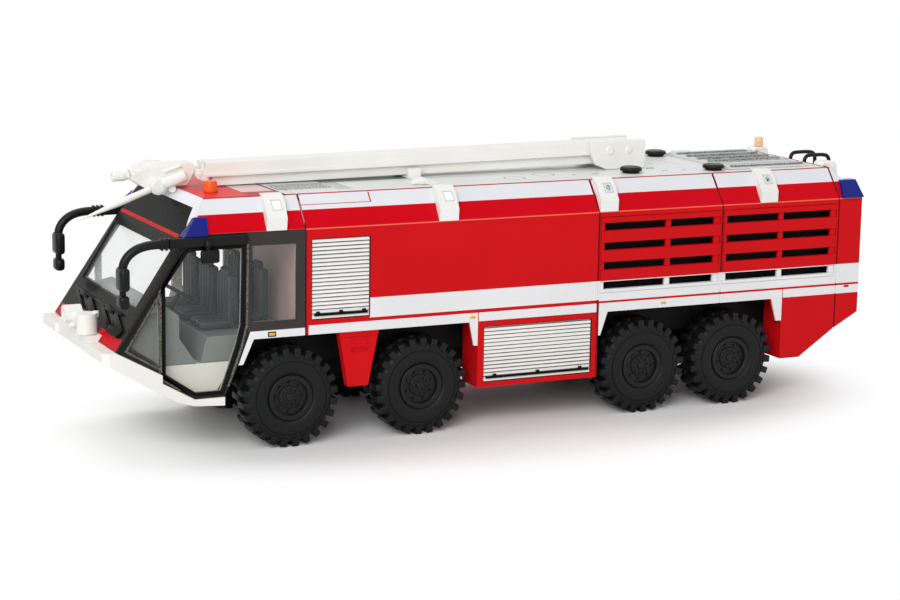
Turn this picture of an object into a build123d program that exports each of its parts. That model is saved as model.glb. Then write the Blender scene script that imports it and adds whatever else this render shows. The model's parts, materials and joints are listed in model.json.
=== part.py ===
from build123d import *
import math
import os
from collections import namedtuple

# Display model of an eight-wheeled airport fire truck at 1:87, in millimetres.
# Stations (x) run forwards from the first axle, y to the truck's left, z up from the floor.
# The finished pieces are moved along x at the end, so that the origin lies mid-length.

os.makedirs("parts", exist_ok=True)

# Overall form shared by cab and body
HALF_WIDTH = 17.25
ROOF_Z = 40.0
SLOPE_HEIGHT = 5.0
CREASE_Z = ROOF_Z - SLOPE_HEIGHT
ROOF_INSET = 4.05
ROOF_HALF_WIDTH = HALF_WIDTH - ROOF_INSET
BODY_LOW_Z = 18.05
SEAT = 0.05

# Cab
CAB_REAR_X = -2.15
CAB_WALL = 0.9
SCREEN_LOW_X = 28.6
SCREEN_LOW_Z = 17.6
SCREEN_TOP_X = 15.0
SCREEN_TOP_DROP = 1.15
SCREEN_TOP_Z = ROOF_Z - SCREEN_TOP_DROP
SCREEN_SLANT = (SCREEN_LOW_X - SCREEN_TOP_X) / (SCREEN_TOP_Z - SCREEN_LOW_Z)
ROOF_FRONT_X = 13.4
FACET_INSET = 2.25
FACET_TOP_Y = HALF_WIDTH - FACET_INSET
FACET_TOP_DROP = 0.1
FACET_TOP_Z = CREASE_Z - FACET_TOP_DROP
FACET_TOP_SET_BACK = 0.03
FACET_TOP_X = SCREEN_LOW_X - (FACET_TOP_Z - SCREEN_LOW_Z) * SCREEN_SLANT - FACET_TOP_SET_BACK
PILLAR_TOP_DROP = 1.3
PILLAR_TOP_Z = CREASE_Z - PILLAR_TOP_DROP
PILLAR_SET_BACK = 0.7
PILLAR_TOP_X = SCREEN_LOW_X - (PILLAR_TOP_Z - SCREEN_LOW_Z) * SCREEN_SLANT - PILLAR_SET_BACK
DOOR_SILL_Z = 9.35
DOOR_SILL_FRONT_X = 16.1
DOOR_SILL_REAR_X = 11.2
DOOR_FRONT_X = 21.3
DOOR_FRONT_LOW_Z = 13.6
DOOR_NOTCH = 1.3
GLASS_THICK = 0.35
GLASS_SET_IN = 0.3
SCREEN_GLASS_LOW_Z = 23.7
SCREEN_GLASS_TOP_DROP = 2.5
SCREEN_GLASS_TOP_Z = CREASE_Z - SCREEN_GLASS_TOP_DROP
SCREEN_GLASS_LOW_INSET = 2.95
SCREEN_GLASS_TOP_INSET = 2.6
SCREEN_GLASS_LOW_HALF = HALF_WIDTH - SCREEN_GLASS_LOW_INSET
SCREEN_GLASS_TOP_HALF = HALF_WIDTH - SCREEN_GLASS_TOP_INSET
GROOVE = 0.2

# Arch legs beside the wheels
LEG_LOW_Z = 14.1
LEG_FOOT = 0.8
LEG_THICK = 1.0
CAB_LEG_TOP_X = 6.4
CAB_LEG_FOOT_X = 8.97

# Body
BODY_FRONT_X = -2.3
BODY_REAR_X = -106.9
ROOF_REAR_X = -102.4
SEAM_X = (-54.5, -78.4, -102.1)
REAR_LOW_Z = 14.6
SKIRT_FRONT_X = -91.05
SKIRT_KNEE_X = -95.0
SKIRT_TAIL_X = -101.9
SKIRT_LOW_Z = 7.3
SKIRT_TAIL_Z = 11.9
SKIRT_DEPTH = 5.6
SKIRT_LEG_FOOT = 1.05
SKIRT_LEG_TOP = 2.15

# Lower locker and tapered step box, the same on both sides
LOCKER_FRONT_X = -32.4
LOCKER_REAR_X = -54.7
LOCKER_LOW_Z = 7.0
LOCKER_DEPTH = 5.8
LOCKER_FRONT_LEG_FOOT = 0.7
LOCKER_FRONT_LEG_TOP = 1.5
LOCKER_REAR_LEG_FOOT = 0.5
LOCKER_REAR_LEG_TOP = 1.8
STEP_TOP_FRONT_X = -8.0
STEP_TOP_REAR_X = -14.8
STEP_LOW_FRONT_X = -9.5
STEP_LOW_REAR_X = -13.0
STEP_LOW_Z = 9.1
STEP_DEPTH = 1.6
STEP_BADGE = 0.15

# Grilles: each panel has two columns of openings in four rows
GRILLE_THICK = 0.9
GRILLE_PROUD = 0.15
GRILLE_BOARD_STEP = 0.3
GRILLE_CAVITY = 2.0
GRILLE_LOW_Z = 21.3
GRILLE_TOP_DROP = 0.9
GRILLE_TOP_Z = CREASE_Z - GRILLE_TOP_DROP
GRILLE_LINER = 0.5
GRILLE_SPARE = 0.4
SLOT_ROWS = 4
SLOT_PITCH = (GRILLE_TOP_Z + GRILLE_SPARE - GRILLE_LOW_Z) / SLOT_ROWS
SLOT_SHARE = 1.3 / 3.3
SLOT_HEIGHT = SLOT_PITCH * SLOT_SHARE
SLOT_MARGIN_SHARE = 1.0 / 3.3
SLOT_TOP_Z = GRILLE_TOP_Z - SLOT_PITCH * SLOT_MARGIN_SHARE
Grille = namedtuple("Grille", "front_x rear_x split_front_x split_rear_x margin_front margin_rear")
GRILLES = (
    Grille(-54.9, -78.0, -67.4, -68.35, 0.75, 1.15),
    Grille(-78.7, -101.7, -89.9, -90.8, 0.75, 1.15),
)

# Roller shutters
Shutter = namedtuple("Shutter", "front_x rear_x low_z top_z slats")
SHUTTER_TOP_DROP = 1.75
SHUTTER_HIGH = Shutter(-3.3, -13.15, 20.5, CREASE_Z - SHUTTER_TOP_DROP, 20)
SHUTTER_LOW = Shutter(-33.55, -53.4, 7.95, 17.05, 14)
SHUTTER_THICK = 0.5
SHUTTER_SET_IN = 0.1
SLAT_STEP = 0.15
HANDLE_HEIGHT = 0.35
HANDLE_PROUD = 0.3
HANDLE_MARGIN = 0.35
HANDLE_RISE = 0.5

# Wheels
AXLES_X = (0.0, -22.6, -63.8, -81.4)
TYRE_RADIUS = 8.0
TYRE_WIDTH = 5.6
TYRE_INSET = 0.35
TYRE_FACE_Y = HALF_WIDTH - TYRE_INSET
LUG_COUNT = 24
LUG_DEPTH = 0.65
LUG_TOP_SHARE = 0.46
LUG_ROOT_SHARE = 0.5
TYRE_BORE_SIDES = 12
RIM_RADIUS = 3.65
RIM_FIT = 0.02
RIM_SET_IN = 0.15
RIM_DISH_RADIUS = 2.9
RIM_DISH_DEPTH = 0.8
HUB_SIDES = 12
HUB_RADIUS = 1.3
HUB_HEIGHT = 0.45
RIM_INNER_SET_IN = 0.4
AXLE_RADIUS = 1.0
AXLE_CLEARANCE = 0.05
PIN_SIDES = 12

# Chassis
DECK_INSET = 6.45
DECK_HALF_WIDTH = HALF_WIDTH - DECK_INSET
DECK_LOW_Z = 12.6
DECK_FRONT_X = 6.9
DECK_REAR_X = -101.85
RAIL_FRONT_X = 9.5
TONGUE_FRONT_X = 11.15
TONGUE_TOP_Z = 9.25
RAIL_OUTER_Y = 5.0
RAIL_WIDTH = 1.6
RAIL_LOW_Z = 8.6
CARRIER_LENGTH = 4.4
CARRIER_LOW_Z = 5.9
CARRIER_TYRE_GAP = 0.7
DIFF_RADIUS = 2.9
DIFF_SIDES = 8
SHAFT_SIDES = 6
DIFF_WIDTH = 4.6
SHAFT_RADIUS = 0.9
SHAFT_Z = 7.4
TAIL_BAR_LOW_Z = 9.0
TAIL_BAR_TOP_Z = 11.6
TAIL_BAR_REAR_X = -103.8
TAIL_BAR_INSET = 1.8
TAIL_BAR_HALF_WIDTH = DECK_HALF_WIDTH - TAIL_BAR_INSET

# White front bumper with its belly plate
BUMPER_FRONT_X = 31.0
BUMPER_TOP_Z = 17.6
BUMPER_HEIGHT = 1.4
BUMPER_OVERLAP = 0.15
BUMPER_HALF_WIDTH = HALF_WIDTH + BUMPER_OVERLAP
BUMPER_SWEEP = 0.25
BUMPER_CORNER_X = 1.0
BUMPER_CORNER_Y = 0.7
PLATFORM_HALF = 8.25
PLATFORM_SET_BACK = 0.5
PLATFORM_TOP_Z = 18.55
BUMPER_LIP_X = 18.9
BUMPER_LIP_Z = 9.0
STEP_PLATE_LOW_Z = 7.9
BUMPER_GAP = 0.08

# Bumper monitor, left of centre as in the photograph
MONITOR_X = 29.85
MONITOR_Y = 5.9
MONITOR_DRUM_RADIUS = 1.6
MONITOR_DRUM_TOP_Z = 21.8
MONITOR_BARREL_RADIUS = 1.45
MONITOR_BORE_RADIUS = 0.75
MONITOR_BORE_DEPTH = 1.2
MONITOR_BARREL_Y = 2.5
MONITOR_BARREL_Z = 21.2
MONITOR_MUZZLE_X = 32.6
MONITOR_BREECH_X = 29.9
MONITOR_NECK_RADIUS = 1.25
MONITOR_NECK_Z = 20.5
MONITOR_FOOT_RADIUS = 0.95
MONITOR_FOOT_X = 31.0
MONITOR_FOOT_LOW_Z = 19.3
MONITOR_KNOB_RADIUS = 0.5
MONITOR_KNOB_X = 28.4
MONITOR_KNOB_LOW_Z = 21.1
MONITOR_KNOB_TOP_Z = 22.0
MONITOR_POST_RADIUS = 0.28
MONITOR_POST_LOW_Z = 19.5
MONITOR_SIDES = 16
MONITOR_PEG_RADIUS = 0.5
MONITOR_PEG_DEPTH = 1.0
MONITOR_PEG_CLEARANCE = 0.05

# Cab interior
FLOOR_INSET = 2.25
FLOOR_HALF_WIDTH = HALF_WIDTH - FLOOR_INSET
FLOOR_TOP_Z = 14.4
FLOOR_FRONT_X = 20.2
FLOOR_REAR_X = 8.6
DASH_FRONT_GAP = 0.6
SEAT_WIDTH = 5.2
SEAT_LENGTH = 5.0
SEAT_CUSHION = 1.6
SEAT_BACK_THICK = 1.5
SEAT_BACK_HEIGHT = 9.8
SEAT_PAN_Z = 18.6
SEAT_RIBS = 4
SEAT_RIB_PROUD = 0.45
SeatPlace = namedtuple("SeatPlace", "back_x y")
SEATS = (
    SeatPlace(8.2, 8.6),
    SeatPlace(8.2, 0.0),
    SeatPlace(8.2, -8.6),
    SeatPlace(1.6, 5.0),
    SeatPlace(1.6, -5.0),
)
STEERING_X = 15.6
STEERING_Y = 8.6
STEERING_Z = 24.6
STEERING_RADIUS = 2.5
STEERING_RIM = 0.3
STEERING_TILT = 30.0
STEERING_SIDES = 12
STEERING_COLUMN = 3.0

# Mirrors
ARM_THICK = 0.75
ARM_HEIGHT = 1.5
ARM_REAR_X = 7.5
ARM_FRONT_X = 21.55
ARM_DROP = 1.0
ARM_Z = CREASE_Z - ARM_DROP
ARM_TUBE_RADIUS = 0.75
ARM_RIB_X = (20.15, 20.85, 21.55)
ARM_BEND_X = 26.1
ARM_ELBOW_X = 27.8
ARM_ELBOW_DROP = 3.0
ARM_ELBOW_Z = ARM_Z - ARM_ELBOW_DROP
ARM_RIB_PROUD = 0.18
ARM_RIB_LENGTH = 0.35
MIRROR_OUT = 0.5
MIRROR_Y = HALF_WIDTH + MIRROR_OUT
MIRROR_EDGE = 0.35
MIRROR_HEAD_X = 27.6
MIRROR_HEAD_DROP = 5.0
MIRROR_HEAD_Z = ARM_Z - MIRROR_HEAD_DROP
MIRROR_HEAD_LENGTH = 1.75
MIRROR_HEAD_WIDTH = 3.2
MIRROR_HEAD_HEIGHT = 3.6
MIRROR_FOOT_DROP = 8.5
MIRROR_FOOT_Z = ARM_Z - MIRROR_FOOT_DROP
MIRROR_FOOT_HEIGHT = 2.1
KERB_X = 13.8
KERB_DROP = 2.3
KERB_Z = ARM_Z - KERB_DROP
KERB_LENGTH = 3.15
KERB_HEIGHT = 2.15
KERB_THICK = 0.8
KERB_STALK_RADIUS = 0.3
KERB_GAP = 0.35
KERB_EDGE = 0.25
TUBE_SIDES = 8
LADDER_SIDES = 6

# Wipers lie on the windscreen
WIPER_THICK = 0.35
WIPER_GAP = 0.02
WiperPlace = namedtuple("WiperPlace", "pivot_y tip_y")
WIPERS = (WiperPlace(-2.2, -14.2), WiperPlace(12.8, 0.8))
WIPER_LOW_Z = 20.2
WIPER_TOP_Z = 22.2
WIPER_HEIGHT = 0.8

# Lights and pods
POD_FRONT_X = (3.9, -25.6, -54.95, -86.3)
POD_TOP_LENGTH = 3.4
POD_LOW_FORWARD = 0.45
POD_LOW_LENGTH = 3.3
POD_PROUD = 0.35
POD_LAP = 0.5
POD_BROW_OUT = 0.55
POD_SHOULDER_OUT = 2.3
POD_SHOULDER_DROP = 0.85
POD_KNEE_OUT = 0.1
POD_KNEE_RISE = 1.9
LAMP_PROUD = 0.55
LAMP_INSET = 1.85
LAMP_REAR_INSET = 3.15
LAMP_FRONT_OVERHANG = 0.4
LAMP_FRONT_HEIGHT = 2.5
LAMP_REAR_HEIGHT = 2.95
BEACON_X = 9.9
BEACON_Y = 7.1
BEACON_RADIUS = 1.15
BEACON_HEIGHT = 1.8
BEACON_SIDES = 12
REAR_POD_FRONT_X = -101.45
REAR_POD_INSET = 2.2
REAR_POD_Y = ROOF_HALF_WIDTH - REAR_POD_INSET
REAR_POD_WIDTH = 2.6
REAR_POD_HEIGHT = 0.75
REAR_POD_TOP_LENGTH = 2.7
REAR_POD_OVERHANG = 0.6
REAR_POD_DROP = 2.3
REAR_BEACON_BACK = 1.85
REAR_BEACON_RADIUS = 0.83
REAR_BEACON_HEIGHT = 1.75
TAIL_LAMP_WIDTH = 1.6
TAIL_LAMP_HEIGHT = 4.2
TAIL_LAMP_Z = 21.0
TAIL_LAMP_INSET = 2.35
TAIL_LAMP_Y = HALF_WIDTH - TAIL_LAMP_INSET
TAIL_LAMP_PROUD = 0.3

# Roof fittings
VentPlace = namedtuple("VentPlace", "x inset")
VENTS = (VentPlace(-65.15, 4.7), VentPlace(-80.7, 3.3))
VENT_SIDES = 12
VENT_RADIUS = 1.9
VENT_HEIGHT = 1.05
GRATING_FRONT_X = -83.4
GRATING_REAR_X = -99.4
GRATING_INSET = 2.3
GRATING_HALF_WIDTH = ROOF_HALF_WIDTH - GRATING_INSET
GRATING_THICK = 0.3
GRATING_RIBS = 6
GRATING_RIB_WIDTH = 1.5
GRATING_RIB_HEIGHT = 0.25
LADDER_Y = (1.5, 5.9)
LADDER_TUBE_RADIUS = 0.3
LADDER_FRONT_X = -102.1
LADDER_TOP_RISE = 1.2
LADDER_TOP_Z = ROOF_Z + LADDER_TOP_RISE
LADDER_GAP = 0.2
LADDER_LOW_Z = 17.4
LADDER_RUNGS = 6

# Boom with its pedestal and cradle
PIVOT_X = -67.3
PIVOT_RISE = 3.3
PIVOT_Z = ROOF_Z + PIVOT_RISE
PIVOT_RADIUS = 0.6
PIVOT_CLEARANCE = 0.05
BOOM_DROOP = 0.62
BOOM_TIP_X = 8.9
BOOM_TOP_RISE = 1.42
BOOM_BOX_HEIGHT = 2.15
BOOM_BOX_HALF = 2.3
BOOM_LIP = 0.25
BOOM_LIP_HEIGHT = 0.4
BOOM_WEB_HALF = 1.7
BOOM_WEB_HEIGHT = 1.6
BOOM_ROOT_RADIUS = 2.45
BOOM_ROOT_SIDES = 16
PEDESTAL_HALF = 3.75
PEDESTAL_CHEEK = 0.9
PEDESTAL_FRONT_X = -60.0
PEDESTAL_REAR_X = -70.6
PEDESTAL_TOP_RISE = 1.65
PEDESTAL_TOP_Z = PIVOT_Z + PEDESTAL_TOP_RISE
PEDESTAL_FLOOR = 0.45
PEDESTAL_BACK = 0.4
PEDESTAL_NOSE = 3.0
BOSS_X = -63.6
BOSS_RADIUS = 0.7
BOSS_PROUD = 0.25
BOSS_SIDES = 12
CRADLE_X = -27.0
CRADLE_LENGTH = 2.3
CRADLE_INSET = 2.2
CRADLE_HALF = ROOF_HALF_WIDTH - CRADLE_INSET
CRADLE_PLATE = 0.3
CRADLE_CHEEK_Y = 2.75
CRADLE_CHEEK = 0.7
CRADLE_TOP_RISE = 1.7
CRADLE_TOP_Z = ROOF_Z + CRADLE_TOP_RISE
BUFFER_RADIUS = 0.42
BUFFER_LENGTH = 2.6
BUFFER_INSET = 0.6

# Boom head
HEAD_PIVOT_X = 9.95
HEAD_PIVOT_RISE = 2.1
HEAD_PIVOT_Z = ROOF_Z + HEAD_PIVOT_RISE
HEAD_PIN_RADIUS = 0.4
HEAD_FORK_HALF = 2.1
HEAD_FORK_CHEEK = 0.7
HEAD_EYE_RADIUS = 0.72
HEAD_HALF = 1.9
RIDGE_HALF = 1.0
SPIKE_X = 9.25
SPIKE_RADIUS = 0.14
SPIKE_TOP_RISE = 2.5
NOZZLE_RADIUS = 0.76
NOZZLE_BORE_RADIUS = 0.48
NOZZLE_NECK_RADIUS = 0.56
NOZZLE_NECK_X = 20.95
NOZZLE_TIP_X = 23.75
NOZZLE_COLLAR_X = 21.8
NOZZLE_DROP = 0.0
NOZZLE_SIDES = 12
LANCE_BOSS_X = 17.0
LANCE_BOSS_DROP = 1.4
LANCE_BOSS_RADIUS = 1.4
LANCE_BOSS_Y = 2.85
LANCE_CAP_RADIUS = 1.0
LANCE_CAP_Y = 3.2
LANCE_RADIUS = 0.56
LANCE_SIDES = 10
LANCE_Y = 2.6
LANCE_TIP_X = 29.86
LANCE_TIP_DROP = 6.2
LANCE_POINT = 6.8
MOTOR_REAR_X = 12.7
MOTOR_RISE = 0.05
MOTOR_RADIUS = 0.93
PIPE_RADIUS = 0.28
BULGE_X = 14.6
BULGE_DROP = 2.0
BULGE_RADIUS = 0.55

# Worked-out values
TAIL_X = BODY_REAR_X - LADDER_GAP - 2 * LADDER_TUBE_RADIUS
ORIGIN_X = (MONITOR_MUZZLE_X + TAIL_X) / 2
SLOPE_RUN = HALF_WIDTH - ROOF_HALF_WIDTH
SLOPE_RISE = ROOF_Z - CREASE_Z
SLOPE_LENGTH = math.hypot(SLOPE_RUN, SLOPE_RISE)
SLOPE_OUT_Y = SLOPE_RISE / SLOPE_LENGTH
SLOPE_OUT_Z = SLOPE_RUN / SLOPE_LENGTH
SCREEN_RUN = SCREEN_LOW_X - SCREEN_TOP_X
SCREEN_RISE = SCREEN_TOP_Z - SCREEN_LOW_Z
SCREEN_LENGTH = math.hypot(SCREEN_RUN, SCREEN_RISE)
SCREEN_OUT_X = SCREEN_RISE / SCREEN_LENGTH
SCREEN_OUT_Z = SCREEN_RUN / SCREEN_LENGTH
RIM_FACE_Y = TYRE_FACE_Y - RIM_SET_IN
TYRE_INNER_Y = TYRE_FACE_Y - TYRE_WIDTH
RIM_INNER_Y = TYRE_INNER_Y + RIM_INNER_SET_IN
CARRIER_HALF_WIDTH = TYRE_INNER_Y - CARRIER_TYRE_GAP
NOZZLE_Z = HEAD_PIVOT_Z - NOZZLE_DROP
LANCE_BOSS_Z = HEAD_PIVOT_Z - LANCE_BOSS_DROP
FAR = 200.0


def long_prism(points, start_x, end_x):
    """Cross-section of (y, z) points drawn out along the truck from start_x to end_x."""
    face = make_face(Polyline([(start_x, y, z) for y, z in points], close=True))
    return extrude(face, amount=abs(end_x - start_x), dir=(math.copysign(1, end_x - start_x), 0, 0))


def side_prism(points, start_y, end_y):
    """Side-view outline of (x, z) points drawn across the truck from start_y to end_y."""
    face = make_face(Polyline([(x, start_y, z) for x, z in points], close=True))
    return extrude(face, amount=abs(end_y - start_y), dir=(0, math.copysign(1, end_y - start_y), 0))


def block(x0, x1, y0, y1, z0, z1):
    """Box between two corners."""
    return Pos((x0 + x1) / 2, (y0 + y1) / 2, (z0 + z1) / 2) * Box(abs(x1 - x0), abs(y1 - y0), abs(z1 - z0))


def cross_prism(x, z, radius, sides, y0, y1):
    """Many-sided bar across the truck, from y0 up to y1."""
    section = RegularPolygon(radius, sides, major_radius=False)
    return Pos(x, y0, z) * Rot(-90, 0, 0) * extrude(section, amount=y1 - y0)


def pin(x, z, radius, reach):
    """Cross pin whose corners lie on the given radius."""
    return cross_prism(x, z, radius * math.cos(math.pi / PIN_SIDES), PIN_SIDES, -reach, reach)


def pin_hole(x, z, radius):
    """Hole right across for a pin, whose flats lie on the given radius."""
    return cross_prism(x, z, radius, PIN_SIDES, -FAR, FAR)


def many_sided(start, end, radius, sides):
    """Many-sided bar between two points."""
    run = Vector(*end) - Vector(*start)
    plane = Plane(origin=start, z_dir=run.normalized())
    return extrude(plane * RegularPolygon(radius, sides), amount=run.length)


def cut_corners(points, cuts):
    """Path whose inner corners are replaced by short slanting runs of the given cuts."""
    path = [Vector(*points[0])]
    for before, corner, after, cut in zip(points, points[1:], points[2:], cuts):
        middle = Vector(*corner)
        path.append(middle + (Vector(*before) - middle).normalized() * cut)
        path.append(middle + (Vector(*after) - middle).normalized() * cut)
    path.append(Vector(*points[-1]))
    return path


def tube(points, cuts, radius, sides):
    """Many-sided tube along a path with cut corners."""
    path = Polyline(*cut_corners(points, cuts))
    section = Plane(path @ 0, z_dir=path % 0) * RegularPolygon(radius, sides)
    return sweep(section, path=path, transition=Transition.RIGHT)


def both_sides(shape):
    """The left-hand shape with its mirror image on the right."""
    return [shape, mirror(shape, about=Plane.XZ)]


def section_points(inset, low_z):
    """Cab and body cross-section as (y, z) points, moved inwards by inset all round."""
    side = HALF_WIDTH - inset
    top = ROOF_Z - inset
    reach = SLOPE_OUT_Y * HALF_WIDTH + SLOPE_OUT_Z * CREASE_Z - inset
    crease = (reach - SLOPE_OUT_Y * side) / SLOPE_OUT_Z
    edge = (reach - SLOPE_OUT_Z * top) / SLOPE_OUT_Y
    return [(-side, low_z), (-side, crease), (-edge, top), (edge, top), (side, crease), (side, low_z)]


def screen_x(z, inset=0.0):
    """Station of the windscreen plane at height z, moved inwards by inset."""
    return SCREEN_LOW_X - (z - SCREEN_LOW_Z) * SCREEN_RUN / SCREEN_RISE - inset / SCREEN_OUT_X


def screen_plane(inset):
    """Plane parallel to the windscreen, facing forwards."""
    return Plane(origin=(screen_x(CREASE_Z, inset), 0, CREASE_Z), z_dir=(SCREEN_OUT_X, 0, SCREEN_OUT_Z))


def cab_outer():
    """Whole outer form of the cab, before it is hollowed."""
    outline = [
        (CAB_REAR_X, BODY_LOW_Z),
        (CAB_LEG_TOP_X, BODY_LOW_Z),
        (CAB_LEG_FOOT_X - LEG_FOOT, LEG_LOW_Z),
        (CAB_LEG_FOOT_X, LEG_LOW_Z),
        (DOOR_SILL_REAR_X, DOOR_SILL_Z),
        (DOOR_SILL_FRONT_X, DOOR_SILL_Z),
        (DOOR_FRONT_X, DOOR_FRONT_LOW_Z - DOOR_NOTCH),
        (DOOR_FRONT_X, DOOR_FRONT_LOW_Z),
        (SCREEN_LOW_X, SCREEN_LOW_Z),
        (SCREEN_TOP_X, SCREEN_TOP_Z),
        (ROOF_FRONT_X, ROOF_Z),
        (CAB_REAR_X, ROOF_Z),
    ]
    form = long_prism(section_points(0, 0), CAB_REAR_X, SCREEN_LOW_X + 1)
    form = form & side_prism(outline, -HALF_WIDTH - 1, HALF_WIDTH + 1)
    low = Vector(SCREEN_LOW_X, HALF_WIDTH, SCREEN_LOW_Z)
    top = Vector(FACET_TOP_X, FACET_TOP_Y, FACET_TOP_Z)
    pillar = Vector(PILLAR_TOP_X, HALF_WIDTH, PILLAR_TOP_Z)
    out = (top - low).cross(pillar - low)
    if out.X < 0:
        out = -out
    form = split(form, bisect_by=Plane(origin=low, z_dir=out), keep=Keep.BOTTOM)
    low_right = Vector(low.X, -low.Y, low.Z)
    out_right = Vector(out.X, -out.Y, out.Z)
    return split(form, bisect_by=Plane(origin=low_right, z_dir=out_right), keep=Keep.BOTTOM)


def cab_hollow():
    """Space inside the cab, open below and at the rear."""
    roof_front = ROOF_FRONT_X - CAB_WALL / 2
    outline = [
        (CAB_REAR_X - 1, 0),
        (screen_x(0, CAB_WALL), 0),
        (screen_x(SCREEN_TOP_Z, CAB_WALL), SCREEN_TOP_Z),
        (roof_front, ROOF_Z - CAB_WALL / 2),
        (roof_front, ROOF_Z),
        (CAB_REAR_X - 1, ROOF_Z),
    ]
    form = long_prism(section_points(CAB_WALL, 0), CAB_REAR_X - 1, SCREEN_LOW_X + FAR / 4)
    return form & side_prism(outline, -HALF_WIDTH, HALF_WIDTH)


def screen_opening(margin):
    """Glazed part of the windscreen as a prism along the truck, reduced by margin."""
    points = [
        (-SCREEN_GLASS_LOW_HALF + margin, SCREEN_GLASS_LOW_Z + margin),
        (SCREEN_GLASS_LOW_HALF - margin, SCREEN_GLASS_LOW_Z + margin),
        (SCREEN_GLASS_TOP_HALF - margin, SCREEN_GLASS_TOP_Z - margin),
        (-SCREEN_GLASS_TOP_HALF + margin, SCREEN_GLASS_TOP_Z - margin),
    ]
    return long_prism(points, ROOF_FRONT_X, SCREEN_LOW_X + 2)


# Side windows and door outline as (x, z) points
QUARTER_WINDOW = [(26.7, 17.75), (21.75, 25.5), (21.75, 14.75)]
DOOR_WINDOW = [
    (20.75, 13.6),
    (20.75, CREASE_Z - 7.9),
    (16.9, CREASE_Z - 2.45),
    (8.3, CREASE_Z - 2.45),
    (8.5, 20.4),
    (9.4, 17.0),
    (11.85, 10.3),
    (15.9, 10.3),
]
REAR_WINDOW = [(6.6, CREASE_Z - 2.2), (-0.7, CREASE_Z - 2.2), (-0.7, 20.7), (6.8, 20.7)]
DOOR_OUTLINE = [
    (21.25, 13.0),
    (21.25, CREASE_Z - 7.6),
    (17.25, CREASE_Z - 1.9),
    (7.6, CREASE_Z - 1.9),
    (7.85, 20.3),
    (8.75, 16.9),
    (11.25, 9.9),
    (15.95, 9.9),
]


def outline_prism(points, start_y, end_y, growth):
    """Side-view outline grown (or shrunk) by growth and drawn across the truck."""
    wire = Polyline([(x, start_y, z) for x, z in points], close=True)
    face = make_face(wire)
    grown = offset(face, amount=growth, kind=Kind.INTERSECTION) if growth else face
    return extrude(grown, amount=abs(end_y - start_y), dir=(0, 1, 0))


def cab_pieces():
    """Front frame, two sides and roof of the cab, split where the panels meet."""
    shell = cab_outer() - cab_hollow()
    front = split(shell, bisect_by=screen_plane(CAB_WALL), keep=Keep.TOP)
    rest = split(shell, bisect_by=screen_plane(CAB_WALL), keep=Keep.BOTTOM)
    crease = Plane(origin=(0, 0, CREASE_Z), z_dir=(0, 0, 1))
    roof = split(rest, bisect_by=crease, keep=Keep.TOP)
    sides = split(rest, bisect_by=crease, keep=Keep.BOTTOM)
    left = sides & block(-FAR, FAR, 0, FAR, 0, FAR)
    front = front - screen_opening(0)
    windows = [QUARTER_WINDOW, DOOR_WINDOW, REAR_WINDOW]
    for window in windows:
        left = left - outline_prism(window, HALF_WIDTH - 3, HALF_WIDTH + 1, 0)
    groove = outline_prism(DOOR_OUTLINE, HALF_WIDTH - GROOVE, HALF_WIDTH + 1, 0)
    groove = groove - outline_prism(DOOR_OUTLINE, HALF_WIDTH - 1, HALF_WIDTH + 2, -GROOVE)
    left = left - groove
    return front, left, mirror(left, about=Plane.XZ), roof


def side_glass():
    """Three panes in the left cab side."""
    outer = HALF_WIDTH - GLASS_SET_IN
    inner = outer - GLASS_THICK
    return [
        outline_prism(window, inner, outer, -SEAT) for window in (QUARTER_WINDOW, DOOR_WINDOW, REAR_WINDOW)
    ]


def windscreen_glass():
    """Pane in the windscreen opening, parallel to its plane."""
    pane = screen_opening(SEAT)
    pane = split(pane, bisect_by=screen_plane(GLASS_SET_IN), keep=Keep.BOTTOM)
    return split(pane, bisect_by=screen_plane(GLASS_SET_IN + GLASS_THICK), keep=Keep.TOP)


def seam_groove(x):
    """Shallow ring cut round the body where two panels meet."""
    ring = long_prism(section_points(-1, 0), x + GROOVE / 2, x - GROOVE / 2)
    return ring - long_prism(section_points(GROOVE, -1), x + GROOVE, x - GROOVE)


def arch_leg(x, foot, top):
    """Left tapered leg beside a wheel arch: upright at x, slanting on the other edge."""
    outline = [(x + top, BODY_LOW_Z), (x + foot, LEG_LOW_Z), (x, LEG_LOW_Z), (x, BODY_LOW_Z)]
    return side_prism(outline, HALF_WIDTH - LEG_THICK, HALF_WIDTH)


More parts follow.
